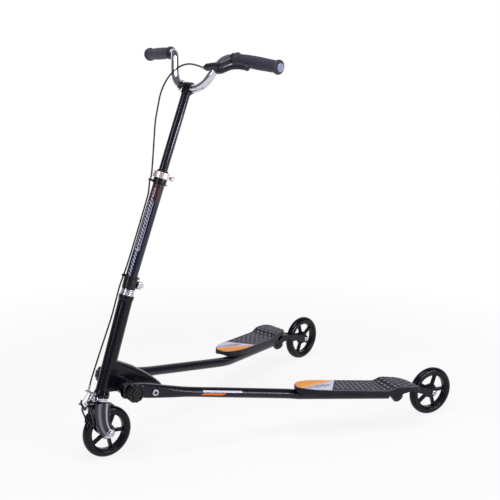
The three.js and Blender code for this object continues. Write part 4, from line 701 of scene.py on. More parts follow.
# Gusset: a pressed steel channel, open below, that ties the head tube to the fold joint. Its
# sides are flat, and its back is a low dome between two pressed edges.
def gusset_shell(inset):
    """Rings of the channel from its lower left edge over the dome to the lower right edge. With u from 0 to 1
    the lower, brim and crown points run from the head tube's axis to the rear end, each on its own line."""
    x = np.array([-170, -163, -148, -120, -82, -45, -18, 14.0])
    half = np.array([9.5, 15.5, 18.4, 19, 19, 19, 19, 19.0])
    bottom = np.array([164.5, 164.1, 166.7, 171.6, 178.4, 184.8, 189.5, 194.0])
    brim = np.array([173, 178.2, 187.9, 206, 230.6, 254.6, 272, 292.8])
    crown = np.array([176, 183.5, 198, 220, 246, 265, 278.5, 300.0])
    u = 1 - (1 - np.linspace(0, 1, 56)) ** 1.15
    low_x, brim_x, crown_x = 10 - 180 * u, -15.6 - 154.4 * u, -17.3 - 152.7 * u
    wide = np.interp(brim_x, x, half) - inset
    low_z, brim_z = np.interp(low_x, x, bottom), np.interp(brim_x, x, brim) - inset / 2
    crown_z = np.maximum(np.interp(crown_x, x, crown) - inset, brim_z + 0.4)
    h = np.linspace(0, 0.93, 12)[:, None]
    side = np.stack([low_x + (brim_x - low_x) * h, wide + 0 * h, low_z + (brim_z - low_z) * h], -1)
    a = np.linspace(0, np.pi / 2, 15)[1:, None]
    press = 1.1 * bell(a, 0.35, 0.16)
    dome = np.stack([
        brim_x + (crown_x - brim_x) * np.sin(a), (wide - 0.7 * bell(a, 0, 0.2)) * np.cos(a),
        brim_z + (crown_z - brim_z) * np.sin(a) - press,
    ], -1)
    half_ring = np.concatenate([side, dome]).transpose(1, 0, 2)
    return np.concatenate([half_ring, half_ring[:, -2::-1] * [1, -1, 1]], 1)


steel_thick = 2.6
outside = gusset_shell(0)
walls = skin(np.concatenate([outside, gusset_shell(steel_thick)[:, ::-1]], 1))
gusset = together(walls, skin(outside[-3:]))
piece("gusset_channel", gusset, enamel, "front_frame", "gusset", at=shifted(front_x), sharp=40)


# Fold joint: a cross tube under the gusset carries both arms on one long axle, and a ribbed
# plastic knob on each side clamps them.
def knob_shell(inner=75.4, collar=78.9, outer=93.3, radius=26.4, lobes=12):
    """Knob turned about its axle. The rim's radius dips by 1.5 ((1 - cos 12 a) / 2)^2, which makes narrow
    grooves, faded out towards the collar and the face; the face has a ring groove around its middle."""
    groove_floor = outer - 2.6
    profile = softened([
        (5.3, 88.9), (5.3, inner), (14.2, inner), (15, inner + 0.8), (15, collar), (24.6, collar),
        (radius, collar + 1.6), (radius, outer - 2.8), (23.4, outer), (18.4, outer), (17.6, groove_floor),
        (15.2, groove_floor), (14.2, outer), (0.05, outer),
    ], 0.7, 3, False)
    r, h = profile[:, 0][:, None], profile[:, 1][:, None]
    a = full_turn(240)
    dip = 1.5 * ((1 - np.cos(lobes * a)) / 2) ** 2 * ramp(r, 20, 24)
    return skin(circled(r - dip, a, h))


fold = wheel_place(426.256, 0, 200.597)
cross_line = [(5.3, -52.6), (21, -52.6), (22, -51.4), (22, 51.4), (21, 52.6), (5.3, 52.6)]
cross_line += [(5.3, 47.6), (18.4, 47.6), (18.4, -47.6), (5.3, -47.6)]
piece("cross_tube_shell", ring(cross_line, 0.5), enamel, "rear_frame", "cross_tube", at=fold)
fold_steel = finish(
    "steel", "plated_steel", (0.5, 0.5, 0.53), 0.26, metal=1, scale=1100, relief=0.015, tone=0.15,
)
fold_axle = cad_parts["fold_axle"].data
fold_axle.materials.clear()
fold_axle.materials.append(fold_steel)
knob_plastic = finish("black_plastic", "glossy_knob", (0.003, 0.003, 0.005), 0.14, gloss=0.3, relief=0.006)
pair("clamp_knob", knob_shell(), knob_plastic, "left_knob", "fold_knob", at=fold)


# Arms: two black enamelled steel tubes. Each starts as an upright rounded box beside the fold
# joint, bends outwards, runs back as a round tube under its footboard and ends in a caster housing.
rear_x, rear_y, caster_yaw = -469.444, 304, 9


def kingpin_place(along, ahead_of_wheel=117, lean=40, start=-1.5):
    """Point on the left caster's kingpin axis, which leans forward and is turned by the caster's yaw."""
    a, yaw = math.radians(lean), math.radians(caster_yaw)
    x, z = ahead_of_wheel + along * math.sin(a), start + along * math.cos(a)
    return np.array([rear_x + x * math.cos(yaw), rear_y - x * math.sin(yaw), wheel_radius + z])


def arm_rings(inset=0):
    """Superellipse rings: |cos|^(2/n) across and |sin|^(2/n) up, with width, height and n blended along X on
    a smooth curve through the stations; each ring stands square to the arm's heading."""
    stations = [
        (-13.2, 64, 8.4, 17.2, 4), (-17, 64, 11, 20.5, 4), (-40, 64, 11, 20.5, 4), (-66, 64.2, 11, 20.5, 4),
        (-90, 70.4, 11.2, 20, 3.6), (-120, 79, 12, 18.4, 3), (-155, 88.2, 13.2, 16.4, 2.5),
    ]
    round_tube = [
        (-195, 97.1, 14.4), (-300, 119.1, 14.3), (-470, 154.7, 14.3), (-500, 161.6, 14.3),
        (-530, 172.4, 14.3), (-560, 185, 14.3), (-785, 280, 14.3),
    ]
    stations += [(x, y, 14.2, height, 2) for x, y, height in round_tube]
    x, y, half, height, square = smooth_path(stations, 7).T[:, :, None]
    z = np.where(x > -530, 208.3 + 0.1821 * x, 111.79 - (-530 - x) * 23.19 / 255)
    heading = np.arctan2(np.gradient(y[:, 0]), -np.gradient(x[:, 0]))[:, None] * ramp(x, -60, -90)
    a = full_turn(arm_sides)
    wide = np.sign(np.cos(a)) * abs(np.cos(a)) ** (2 / square) * (half - inset)
    up = np.sign(np.sin(a)) * abs(np.sin(a)) ** (2 / square) * (height - inset)
    return np.stack([x + wide * np.sin(heading), y + wide * np.cos(heading), z + up], -1)


def band_group():
    """Group for one printed stripe. On the place attribute (x, y, z) it gives 1 where (x + slope y) mod
    repeat lies between low and high, y between start and end, and z is above 0, and 0 elsewhere."""
    labels = ("Low", "High", "Start", "End", "Slope", "Repeat")
    group, given, result = new_group("printed_band", dict.fromkeys(labels, "Float"), ("Inside",))

    def step(operation, first, second):
        return shading(group, "Math", {0: first, 1: second}, operation=operation).outputs[0]

    place = shading(group, "Attribute", attribute_name="place").outputs["Vector"]
    x, y, z = shading(group, "SeparateXYZ", {0: place}).outputs
    drawn = step("MODULO", step("ADD", x, step("MULTIPLY", y, given["Slope"])), given["Repeat"])
    inside = step("GREATER_THAN", z, 0)
    for value, low, high in ((drawn, "Low", "High"), (y, "Start", "End")):
        inside = step("MULTIPLY", inside, step("GREATER_THAN", value, given[low]))
        inside = step("MULTIPLY", inside, step("LESS_THAN", value, given[high]))
    wire(group, result, {"Inside": inside})
    return group


band = band_group()


def printed(made_of, *stripes):
    """Prints stripes, the later over the earlier: (colour, low, high, start, end), then slope and repeat."""
    for colour, low, high, start, end, *more in stripes:
        slope, repeat = [*more, *(0, 1e4)[len(more):]]
        sizes = {"Low": low, "High": high, "Start": start, "End": end, "Slope": slope, "Repeat": repeat}
        shape = shading(made_of.node_tree, "Group", sizes, node_tree=band)
        over_base(made_of, shape.outputs[0], colour)


arm_sides = 56
arm_wall = 1.8
rings = arm_rings()
turned_in = arm_rings(arm_wall)[14::-1]
arm_tube = moved(skin(np.concatenate([turned_in, rings])), shifted(front_x))
housing_radius = 17
housing = rod(kingpin_place(26.6), kingpin_place(52), housing_radius, edge=1.4)
around = full_turn(arm_sides) + 0 * rings[..., 0]
printed_face = np.stack([rings[..., 0], np.sin(around), np.cos(around)], -1).reshape(-1, 3)
bare_inside, bare_housing = np.zeros((turned_in[..., 0].size, 3)), np.zeros((len(housing[0]), 3))
arm_place = np.concatenate([bare_inside, printed_face, bare_housing])
arm_enamel = finish(
    "gloss_paint", "arm_enamel", (0.005, 0.005, 0.011), 0.22, gloss=0.3, scale=260, relief=0.003, tone=0.2,
)
silver_stripe, orange_stripe = (0.6, 0.6, 0.72), (0.7, 0.16, 0.03)
printed(arm_enamel, (silver_stripe, -352, -236, 0.3, 0.64), (orange_stripe, -300, -236, -0.3, 0.16, 30))
pair("arm_tube", together(arm_tube, housing), arm_enamel, "rear_frame", "arm", sharp=44, place=arm_place)


# Socket bolts: a polished button head with a hexagonal socket on the outer face of each
# arm, and a nut on its inner face. The socket's floor is a near-black hexagon of painted shade.
def button_bolt(start, face, length, radius, socket, depth):
    """Head with a domed rim and a hexagonal socket, and a shaft, on +Z."""
    top = face + length
    hexagon = [(0.02, top - depth), (0.97, top - depth), (1, top - depth + 0.1), (1, top - 0.3), (1.05, top)]
    outside = [
        (socket * 1.25, top), (radius - 1.4, top - 0.2), (radius, face + length * 0.45), (radius, face),
        (4, face), (4, start), (0.05, start),
    ]
    return skin(screw_rows(socket, hexagon, outside, 0.8))


def six_sided(radius, low, high, chamfer=0.8):
    """Hexagonal nut on +Z, cut by a round chamfer at both ends."""
    angle = full_turn(72)
    six = six_sides(radius, angle)
    middle, cut = 0.02 + 0 * six, np.minimum(six, radius * 0.9)
    reach = (middle, cut, six, six, cut, middle)
    heights = (low, low, low + chamfer, high - chamfer, high, high)
    return skin(np.array([circled(r, angle, h) for r, h in zip(reach, heights)]))


heading = math.atan2(8.4, 30)
outward = np.array([math.sin(heading), math.cos(heading), 0])
bolt_middle = np.array([-106 + front_x, 75.08, 189.0])
on_arm = between(bolt_middle, bolt_middle + outward)
# Painted shade: a near-black hexagon fills the floor of each bolt's socket.
socket_shade_paint = finish("chrome", "bolt_socket", (0.01, 0.01, 0.013), 0.5, gloss=0.3, relief=0.05)
pair("screw_socket", six_sided(4.7, 13.8, 15.6, chamfer=0.1), socket_shade_paint, "rear_frame", None, at=on_arm)
button = button_bolt(start=-11.5, face=11.8, length=5.2, radius=9.6, socket=4.6, depth=3)
arm_screw = together(button, six_sided(7, -16.8, -11.9))
pair("arm_screw", arm_screw, cast_alloy, "rear_frame", "arm_bolt", at=on_arm)

# Casters: on each side a black cast fork swivels on an inclined kingpin under the arm's end, and
# the wheel trails behind it between two plates.
black_cast = finish(
    "black_cast", "black_casting", (0.005, 0.005, 0.009), 0.32, scale=420, relief=0.03, tone=0.3,
)
plate_inner, plate_outer = 15.6, 19.6
at_caster = shifted(rear_x, rear_y, wheel_radius) @ spun(-math.radians(caster_yaw))
swivel_hub = rod(kingpin_place(0), kingpin_place(26.1), housing_radius, edge=1.8, sides=72)
bridge_line = [(84, 19), (110, 14), (122, 11), (136, 20), (124, 32), (116, 34), (84, 34)]
bridge = slab(softened(bridge_line, 3), -plate_outer + 0.2, plate_outer - 0.2, edge=2.2, steps=4)
plate_line = [
    (104, 15), (84, 18.5), (12, -9.5), (6, -12), (0, -13), (-9.2, -9.4), (-13, 0), (-9.4, 9), (-1, 13),
    (8, 12.6), (84, 34), (104, 34),
]
plate = slab(softened(plate_line, 3.5), plate_inner, plate_outer, edge=0.9)
swivel_fork = together(swivel_hub, moved(together(bridge, plate, mirrored(plate)), at_caster))
pair("swivel_fork", swivel_fork, black_cast, "left_caster", "caster_fork")
pin_line = [(0.05, -5.4), (4.9, -5.4), (4.9, 52.3), (8.4, 52.3), (8.4, 55.6), (7, 56.8), (0.05, 56.8)]
swivel_pin = together(solid(pin_line, 0.5), six_sided(8, -5.3, -0.4))
on_kingpin = between(kingpin_place(0), kingpin_place(1))
pair("swivel_pin", swivel_pin, fold_steel, "rear_frame", "kingpin", at=on_kingpin)
for side, sign, turn in (("left", 1, 35.5), ("right", -1, -2.5)):
    place = wheel_place(rear_x, sign * rear_y, wheel_radius, -sign * caster_yaw)
    wheel(f"{side}_rear", f"{side}_rear_wheel", place, turn, plate_inner, plate_outer, f"{side}_caster")

# Footboards: moulded black plastic trays screwed onto the arms. The nose is smooth and printed,
# the standing area carries rows of raised scales inside a plain rim, and the tail rises in a hump.
# The scales' tops and a thin line just inside the edge are painted paler, as painted highlights.
deck_rows = np.array([
    (14.6, 3, -4.5, 7), (15.4, 8, -3.4, 9.6), (18, 16.2, -1.9, 13.8), (24, 25.4, -0.7, 17),
    (34, 32.6, 0, 17.9), (46, 38, 0, 17.9), (68, 43.6, 0, 17.9), (100, 46.2, 0, 17.9), (130, 47, 0, 17.9),
    (200, 47.6, 0, 17.9), (270, 48, 0.1, 17.9), (280, 48.1, 1.2, 17.9), (290, 48.2, 6, 17.9),
    (300, 48.1, 10.6, 17.9), (312, 47.6, 12.3, 17.9), (345, 45, 12.1, 15), (364, 40, 10.6, 13),
    (378, 32.4, 7.6, 10.4), (386, 22.4, 4.4, 7), (389, 14, 2.4, 5.4), (389.8, 8, 1.4, 4.4),
])
print_end, print_slope = 130.5, 0.4


def deck_section(along):
    """Half width, height and depth at distances from the nose, from straight lines between the rows."""
    return [np.interp(along, deck_rows[:, 0], deck_rows[:, k]) for k in (1, 2, 3)]


def deck_top(along, side, scale_length=30, scale_width=16.5):
    """Height of the standing face at along and side (-1..1 of the half width), with d the distance to the
    edge: a rounded edge, a step 1 mm down inside the rim, and scales. A scale is a lozenge on a staggered
    lattice, 1 - 2.8 |u| - 1.15 |v| cut to 0..0.3. Also gives y, d and the scales."""
    half, height, _ = deck_section(along)
    y = side * half
    d = np.minimum(half - abs(y), (along - 14.4) * 0.9)
    past_print = along - (print_end - print_slope * y)
    inside = ramp(d, 8, 9) * ramp(past_print, 4, 6) * ramp(along, 383, 380)
    scales = 0
    for shift in (0, 0.5):
        u = abs((along / scale_length + shift) % 1 - 0.5) * 2
        v = abs((y / scale_width + shift) % 1 - 0.5) * 2
        scales = np.maximum(scales, np.clip(1.0 - 2.8 * u - 1.15 * v, 0, 0.3) / 0.3)
    scales = scales * inside
    pad = ramp(d, 7, 8) * ramp(past_print, 2, 4)
    return height - rounding(d, 3.2) - pad + 1.7 * scales, y, d, scales


def footboard_shell(columns=121):
    """Top grid of (along, side) points, with one wall column down each edge and the hollow below: rings run
    across the top, down the outer wall, in under the rim, over the hollow's ceiling and back up. Behind
    200 mm the rows lean, so that along grows by -0.32 y s, where s is a smooth step from 200 to 340."""
    stretches = ((14.6, 20, 10), (20, 40, 16), (40, 104, 40), (104, 384, 300))
    most = [np.linspace(*ends)[:-1] for ends in stretches]
    along = np.concatenate([*most, np.linspace(384, 389.8, 10)])[:, None]
    even = np.linspace(-1, 1, columns)[None, :]
    side = np.sin(even * np.pi / 2) * 0.55 + even * 0.45
    top, y, d, scales = deck_top(along + 0 * side, side)
    half, height, depth = deck_section(along)
    bottom = height - depth
    wall = np.minimum(3.6, half * 0.5)
    roof = np.where((along > 26) & (along < 380), height - 4.4, bottom + 1)
    corner = np.minimum(2.0, half * 0.3)
    down = [(half, bottom + corner), (half - 0.3 * corner, bottom + 0.3 * corner), (half - corner, bottom),
            (half - wall, bottom), (half - wall - 0.6, roof)]
    ys = np.concatenate([y, *[at for at, _ in down], *[-at for at, _ in down[::-1]]], 1)
    zs = np.concatenate([top, *[up for _, up in down], *[up for _, up in down[::-1]]], 1)
    t = ramp(along, 200, 340)
    xs = -along - 0.32 * t * t * (3 - 2 * t) * ys
    unprinted = -5.0
    place = np.full((*ys.shape, 3), unprinted)
    place[:, :columns] = np.stack([along + 0 * y, y, d - 3.6], -1)
    # Painted highlights: the scales' tops, and a line 1 to 3 mm inside the edge.
    painted_highlights = np.zeros(ys.shape)
    painted_highlights[:, :columns] = np.maximum(scales, 0.6 * (d < 3) * (d > 1))
    return skin(np.stack([xs, ys, zs], -1)), place.reshape(-1, 3), painted_highlights.ravel()


board_plastic = finish(
    "board_plastic", "scaled_board_plastic", (0.007, 0.006, 0.011), 0.45, gloss=0.22, relief=0.08, tone=0.3,
)
orange, pale, line, black = (0.92, 0.33, 0.04), (0.66, 0.67, 0.78), (0.2, 0.16, 0.24), (0.012, 0.011, 0.017)
across, steep = (-60, 60), 1.61
printed(
    board_plastic, (orange, 0, print_end, *across, print_slope), ((0.92, 0.5, 0.2), 57, 63, *across, steep),
    ((0.93, 0.62, 0.36), 67, 71, *across, steep), (line, 76, 79, *across, steep),
    (pale, 79, 400, *across, steep), (line, 88, 97, -8, 30, steep), (line, 103, 113, -8, 24, steep),
    (line, 118, 124, -8, 16, steep), (pale, 124, print_end, *across, print_slope),
    (black, print_end, 1000, *across, print_slope),
)
# Painted highlights on the scales' tops and along the rim.
painted_highlight_over(board_plastic, "scale_top", (0.2, 0.19, 0.25))
board, board_place, painted_highlights = footboard_shell()
deck_place = Matrix.Translation((-28.444, 175.3, 149.35))
for degrees, axis in ((-22.9, "Z"), (-5.3, "Y"), (1.5, "X")):
    deck_place @= Matrix.Rotation(math.radians(degrees), 4, axis)
marks = {"place": board_place, "scale_top": painted_highlights}
pair("foot_tray", board, board_plastic, "rear_frame", "footboard", at=np.array(deck_place), sharp=30, **marks)


# Stem clamp: a black split collar that holds the lower stem on the steerer, closed by a chromed
# bolt with a wide head through its two ears.
def collar(bore, radius, low, high, ear_back, ear_half, ear_low, ear_high, slot, edge=0.7):
    """Ring and two ears behind it, with a slot between them."""
    ear_line = softened(oblong(-ear_back, -bore - 0.6, ear_low, ear_high), 2.4)
    ear = slab(ear_line, slot, ear_half, edge)
    return together(ring(oblong(bore, radius, low, high), edge), ear, mirrored(ear))


def cross_bolt(back, height, face, head_radius, head_length, nut_radius, nut_length, shaft):
    """Bolt along Y behind a collar: a button head on the left, a nut on the right."""
    head_end, nut_end, washer, dimple = face + head_length, face + nut_length, nut_radius * 0.6, 1.4
    line = [
        (0.05, -nut_end), (washer, -nut_end), (washer, -face), (shaft, -face + 0.2), (shaft, face - 0.2),
        (head_radius, face), (head_radius, head_end - 1.6), (head_radius - 1.6, head_end),
        (head_radius * 0.5, head_end), (head_radius * 0.44, head_end - dimple), (0.05, head_end - dimple),
    ]
    nut = six_sided(nut_radius, -nut_end, -face, 0.5)
    return moved(together(solid(line, 0.5, 64), nut), wheel_place(-back, 0, height))


stem_collar = collar(
    bore=14.7, radius=18.3, low=409.6, high=437.4, ear_back=33, ear_half=9, ear_low=413.5, ear_high=433.3,
    slot=1.1,
)
piece("stem_clamp_collar", stem_collar, satin_black, "steering", "stem_clamp", at=head)
stem_screw = cross_bolt(
    back=26.2, height=423.4, face=9.3, head_radius=9.8, head_length=6.5, nut_radius=7.5, nut_length=5,
    shaft=3.6,
)
piece("stem_clamp_screw", stem_screw, chrome, "steering", "stem_clamp_bolt", at=head)


# Lower stem: a dark lacquered steel tube. It leaves the stem clamp, leans back a little more
# after a slight bend, and carries printed silver lines on its left.
def pipe(path, outer, inner, sides, side=(0, 1, 0)):
    """Hollow tube along a path: outer rings, then inner rings back, closed at both ends by the wall."""
    out, back = (swept(path, radius, sides=sides, side=side) for radius in (outer, inner))
    return skin(np.concatenate([out, back[::-1]]), looped=True)


def put_on(matrix, *places):
    """Places [forward, left, up] on the steering axis or the stem, in the scooter's frame."""
    return np.array(places, float) @ matrix[:3, :3].T + matrix[:3, 3]


bend = put_on(head, (0, 0, 450.6))[0]
stem = leaning(20.44, bend[0], bend[2])
stem_start = np.vstack([
    put_on(head, (0, 0, 437.8), (0, 0, 444), (0, 0, 448)), put_on(stem, (0, 0, 2.6), (0, 0, 6)),
])
straight = put_on(stem, *[(0, 0, h) for h in np.linspace(6, 281.6, 40)])
stem_path = np.vstack([smooth_path(stem_start, 3)[:-1], straight])
stem_sides = 72
print_turn = math.radians(33)
height = np.linalg.norm(stem_path - stem_path[0], axis=1)[:, None]
outer_place = circled(1, full_turn(stem_sides) - print_turn + 0 * height, height)[..., [2, 1, 0]]
stem_place = np.concatenate([outer_place, outer_place * 0]).reshape(-1, 3)
line_paint = finish(
    "stem_paint", "lined_stem_lacquer", (0.006, 0.007, 0.021), 0.2, gloss=0.45, scale=260, relief=0.003,
    tone=0.2,
)
silver, night, brown = (0.4, 0.4, 0.5), (0.008, 0.008, 0.018), (0.045, 0.017, 0.019)
printed(
    line_paint, (silver, 78, 268, -0.5, 0.42), (night, 82, 1000, -0.4, 0.32), (brown, 214, 264, -1.1, 1.1),
    (silver, 0, 4.6, -0.3, 0.22, 14, 9.4), (brown, 222, 264, -1.1, 1.1), (silver, 226, 250, -0.2, 0.14),
    (brown, 229, 247, -0.12, 0.06), (night, 264, 1000, -1.1, 1.1),
)
lower_tube = pipe(stem_path, outer=15.9, inner=14.1, sides=stem_sides)
piece("lower_stem_tube", lower_tube, line_paint, "steering", "lower_stem", place=stem_place)

# Upper stem and its sleeve: a thinner lacquered tube slides in the lower one, through a plastic
# sleeve whose flange rests on the clamp.
stem_paint = finish(
    "stem_paint", "dark_stem_lacquer", (0.007, 0.006, 0.016), 0.18, metal=0.15, gloss=0.5, scale=260,
    relief=0.003, tone=0.2,
)
upper_tube = tube((0, 0, 150), (0, 0, 500), outer=12, inner=10.4, edge=0.5)
piece("upper_stem_tube", upper_tube, stem_paint, "handlebar_assembly", "upper_stem", at=stem)
sleeve_line = [(12.3, 236), (13.8, 236), (13.8, 282.9), (15.3, 282.9), (15.3, 287), (14.3, 288), (12.3, 288)]
piece("slide_sleeve", ring(sleeve_line, 0.4, 72), black_plastic, "steering", "stem_sleeve", at=stem)

# Height clamp: a pale satin aluminium collar, drawn shut behind the stem by a plated bolt.
# Its grain is finer along the stem than around it, as on a turned ring.
satin_alloy = finish(
    "alloy", "satin_aluminium", (0.82, 0.68, 0.66), 0.34, metal=0.75, scale=700, relief=0.02, tone=0.12,
    along=4,
)
top_collar = collar(
    bore=16.2, radius=22.5, low=266, high=282.6, ear_back=34, ear_half=10, ear_low=266, ear_high=282.6,
    slot=1.2, edge=1,
)
piece("height_clamp_collar", top_collar, satin_alloy, "steering", "height_clamp", at=stem)
top_screw = cross_bolt(
    back=27.6, height=274.3, face=10.3, head_radius=6.4, head_length=5.5, nut_radius=6, nut_length=5,
    shaft=3.2,
)
piece("height_clamp_screw", top_screw, fold_steel, "steering", "height_clamp_bolt", at=stem)


# Cable guides: two black plastic rings around the lower stem, each with an eye that holds the
# brake cable in front of it and a small lug behind.
def guide(radius, low, high, eye_top, lug_back, forward, left):
    """Ring, an arm to the eye, the eye and the lug."""
    bore = 16.2
    reach, eye_low = math.hypot(forward, left), eye_top - 6
    band = ring(oblong(bore, radius, low, high), 0.8, 72)
    arm = slab(softened(oblong(16.6, reach - 3, eye_low, eye_top), 1), -4.6, 4.6, 0.8)
    eye = ring(oblong(2.8, 5, eye_low, eye_top), 0.7, 40)
    lug = slab(softened(oblong(-lug_back, -16.6, low, low + 4.5), 1), -3.4, 3.4, 0.7)
    arm, eye = moved(arm, spun(math.atan2(left, forward))), moved(eye, shifted(forward, left))
    return together(band, arm, eye, lug)


lower_guide = guide(radius=19.4, low=438, high=446, eye_top=445, lug_back=25.5, forward=17, left=-13)
piece("lower_cable_ring", lower_guide, black_plastic, "steering", "lower_cable_guide", at=head)
upper_guide = guide(radius=18.2, low=249.5, high=265.6, eye_top=258, lug_back=23.5, forward=23.5, left=-11)
piece("upper_cable_ring", upper_guide, black_plastic, "steering", "upper_cable_guide", at=stem)

# Handlebar: one chromed tube. From the clamp it curves up on each side like a cradle, then runs
# outwards and a little back to the grips.
bar_up, bar_back = 517.4, -3


def swept_end(left, straight_from=140, rise=94, back=9.8, fall_back=0.1732, fall=0.026):
    """Middle of the straight end at a distance left of the stem."""
    beyond = left - straight_from
    return np.array([bar_back - back - fall_back * beyond, left, bar_up + rise - fall * beyond])


cradle = np.array([
    (0, 0, 0), (16, 0.3, 0), (32, 2, 0), (51, 8, 0.2), (68, 18.5, 0.6), (81, 33, 1), (91, 49.5, 1),
    (100, 65.2, 0.4), (109.5, 78.1, -1.4), (120, 87.2, -4.4), (130, 92.2, -7.7), (140, 94, -9.8),
])
curved = smooth_path(np.stack([cradle[:, 2] + bar_back, cradle[:, 0], cradle[:, 1] + bar_up], -1), 6)
half_bar = np.vstack([curved, [swept_end(y) for y in (146, 154, 200, 250, 303)]])
whole_bar = np.vstack([half_bar[:0:-1] * [1, -1, 1], half_bar])
riser = pipe(whole_bar, outer=11.1, inner=9.3, sides=48, side=(1, 0, 0))
piece("riser_bar", riser, chrome, "handlebar_assembly", "handlebar", at=stem)

# Bar clamp: a black cast cradle on top of the upper stem and a cap, closed over the bar by one
# bolt in front.
shell_line = np.vstack([arc(15.6, 0, np.pi, 36), arc(11.5, np.pi, 0, 36)])
lip_line = oblong(8.9, 27, 0.4, 8.5)
neck = [rod((0, 0, 500.4), (0, 0, 507), 14.6, 0.8, 72), rod((0, 0, 479.4), (0, 0, 503), 10.1)]
for name, node, sign, more in (("bar_cradle", "bar_clamp", -1, neck), ("bar_cap", "bar_clamp_cap", 1, [])):
    saddle = slab(softened(shell_line * [1, sign] + [bar_back, bar_up + 0.35 * sign], 0.5, 1), -13, 13, 0.8)
    lip = slab(softened(lip_line * [1, sign] + [0, bar_up], 2.4), -9, 9, 0.8)
    piece(name, together(saddle, lip, *more), black_cast, "handlebar_assembly", node, at=stem)
screw_line = [
    (0.05, -14.3), (5, -14.3), (5, -8.8), (3.1, -8.6), (3.1, 8.6), (5, 8.8), (5, 13.2), (4, 14.3),
    (2.4, 14.3), (2.2, 12), (0.05, 12),
]
cap_screw = moved(solid(screw_line, 0.4), shifted(21, 0, bar_up))
piece("bar_cap_screw", cap_screw, fold_steel, "handlebar_assembly", "bar_clamp_bolt", at=stem)


# Grips: soft dark rubber sleeves with a flange at each end and rows of small dimples between
# them, and pale plugs that close the ends of the bar.
def grip_shell(length=151, bore=11.4):
    """Sleeve turned about the bar: the radius runs through the stations, less 0.6 (sin 14 a sin 2 pi h / 9)^2
    in the dimpled middle."""
    line = smooth_path([
        (0, 16.6), (1, 17.6), (4.6, 17.5), (6.6, 15.5), (40, 16.2), (80, 16.8), (120, 16), (142, 16.3),
        (145.4, 18.5), (150, 18.5), (length, 17.6),
    ], 14)
    h, r = line[:, 0][:, None], line[:, 1][:, None]
    a = full_turn(168)
    dimpled = ramp(h, 12, 16) * ramp(h, 138, 134)
    r = r - 0.6 * dimpled * (np.sin(14 * a) * np.sin(2 * np.pi * h / 9)) ** 2
    inside = [circled(bore, a, z)[None] for z in (length, 0)]
    return skin(np.concatenate([circled(r, a, h), *inside]), looped=True)


grip_rubber = finish(
    "grip_rubber", "sleeve_rubber", (0.032, 0.03, 0.05), 0.55, gloss=0.4, scale=1300, relief=0.2, tone=0.35,
)
grip_place = stem @ between(swept_end(154), swept_end(155))
pair("grip_sleeve", grip_shell(), grip_rubber, "handlebar_assembly", "grip", at=grip_place, sharp=60)
plug_line = [(0.05, -14), (8.3, -14), (8.3, 0), (11, 0), (11, 2.2), (9.6, 3.6), (6, 3.6), (5.4, 3), (0.05, 3)]
plug_grey = finish("alloy", "plug_grey", (0.3, 0.33, 0.46), 0.3, metal=0.4, relief=0.015)
plug_place = stem @ between(swept_end(305), swept_end(306))
pair("bar_plug", solid(plug_line, 0.6, 64), plug_grey, "handlebar_assembly", "end_plug", at=plug_place)

# Brake lever: a black bracket clamped beside the left grip, a curved blade with a ball end that
# turns on a pin in it, and a plated adjusting screw where the cable leaves.
lever_black = finish(
    "black_cast", "lever_black", (0.016, 0.015, 0.026), 0.3, gloss=0.4, scale=600, relief=0.012,
)
pivot, mouth = np.array([21, 139, 580.0]), np.array([26.4, 98, 571.8])
strap = tube(swept_end(142.8), swept_end(152.4), outer=14.8, inner=12, edge=0.9)
neck_path = smooth_path([swept_end(146), (4, 143, 596), pivot], 10)
neck = skin(swept(neck_path, half=9, sides=28, side=(0, 1, 0)))
body_path = smooth_path([pivot + (0, 6, 1.2), pivot, (pivot + mouth) / 2, mouth], 8)
s = np.linspace(0, 1, len(body_path))
body_half = 10.8 * np.sqrt(np.minimum(s * 6 + 0.1, 1)) * (1 - 0.1 * s)
pin_spans = ((-11.5, 8.2, 8, 1.4), (-19.5, -17.3, 4.6, 0.6), (-19, 0, 2.6, 0.2))
pin = [rod(pivot + (0, 0, low), pivot + (0, 0, high), radius, edge) for low, high, radius, edge in pin_spans]
bracket = together(strap, neck, skin(swept(body_path, body_half, sides=32)), *pin)
piece("lever_bracket", bracket, lever_black, "handlebar_assembly", "brake_bracket", at=stem)
blade_route = [
    (20, 141, 566), (20.5, 158, 567.8), (20, 174, 574), (17.5, 190, 581), (12, 212, 585.5), (5, 236, 586.6),
]
lever_blade = skin(swept(smooth_path(blade_route, 10), half=7.2, thick=5, sides=28))
u, v = np.linspace(0.02, np.pi - 0.02, 20)[:, None], full_turn(36)
ball_radius = 7.4
ball = skin(circled(ball_radius * np.sin(u), v, ball_radius * np.cos(u)))
lever_boss = rod((21, 139, 563), (21, 139, 568.8), 7.2, 0.8)
whole_lever = together(lever_blade, moved(ball, shifted(5, 237, 585.6)), lever_boss)
piece("lever_blade", whole_lever, lever_black, "brake_lever", "brake_lever", at=stem)
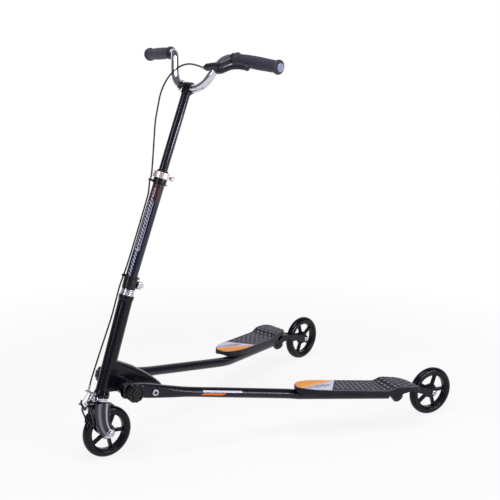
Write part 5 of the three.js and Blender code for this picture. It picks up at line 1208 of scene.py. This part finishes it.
knurled_line = [
    (0.05, 0.3), (3.4, 0.3), (3.4, 6.4), (5.2, 6.6), (5.2, 11), (4.4, 11.5), (3.4, 12.5), (0.05, 12.5),
]
knurl = full_turn(96)
ripple = 0.35 * np.clip(np.sin(24 * knurl), -0.5, 0.5)
screw = skin(np.array([circled(r + ripple * (r > 5), knurl, h) for r, h in knurled_line]))
screw_place = stem @ between(mouth, mouth + (mouth - pivot))
piece("cable_adjusting_screw", screw, fold_steel, "handlebar_assembly", "cable_adjuster", at=screw_place)


# Brake cable: a black plastic casing with a steel wire inside, held at the lever, in both guides
# and in the caliper's stop, where a plated ferrule ends it.
def casing(route):
    """Round casing along the smooth curve through a route."""
    return skin(swept(smooth_path(route, steps=8), half=2.2, sides=16, side=(1, 0, 0)))


casing_black = finish(
    "cable_casing", "cable_casing", (0.006, 0.006, 0.008), 0.3, gloss=0.3, scale=1600, relief=0.03,
)
top_route = [
    (23.5, -11, 258.8), (24, -11, 268), (27.4, -11.2, 284), (36.3, -14, 324.5), (45.8, -17, 366),
    (55, -19, 407), (60, -20, 446.6), (64.5, -18, 478), (65.6, -13.5, 500.2), (65, -5, 523), (63.5, 5, 538),
    (61, 18, 552.4), (56, 35, 564), (48.7, 52, 570.2), (37, 72, 571), (28.3, 84.8, 569),
]
top_casing = casing(top_route)
top_run = piece("upper_cable_run", top_casing, casing_black, None, "upper_brake_cable", at=stem, sharp=80)
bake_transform(top_run)
along_stem = [
    (23.5, -11, 258.4), (23.5, -11, 250), (21.6, -9.9, 238), (18.8, -8.4, 220), (18, -8, 195), (18, -8, 30),
]
along_head = [
    (17, -13, 442), (17.4, -17.4, 412), (17.6, -18.2, 386), (17.6, -18.6, 329), (24.4, -20, 229),
    (29.4, -20.6, 150), (29.6, -20.4, 131.5),
]
low_route = np.vstack([put_on(stem, *along_stem), put_on(head, *along_head)])
piece("lower_cable_run", casing(low_route), casing_black, "steering", "lower_brake_cable", sharp=80)
ferrule = rod((29.6, -20.4, 117), (29.6, -20.4, 133), 2.8, 0.4, 32)
piece("cable_ferrule", ferrule, fold_steel, "steering", at=head)
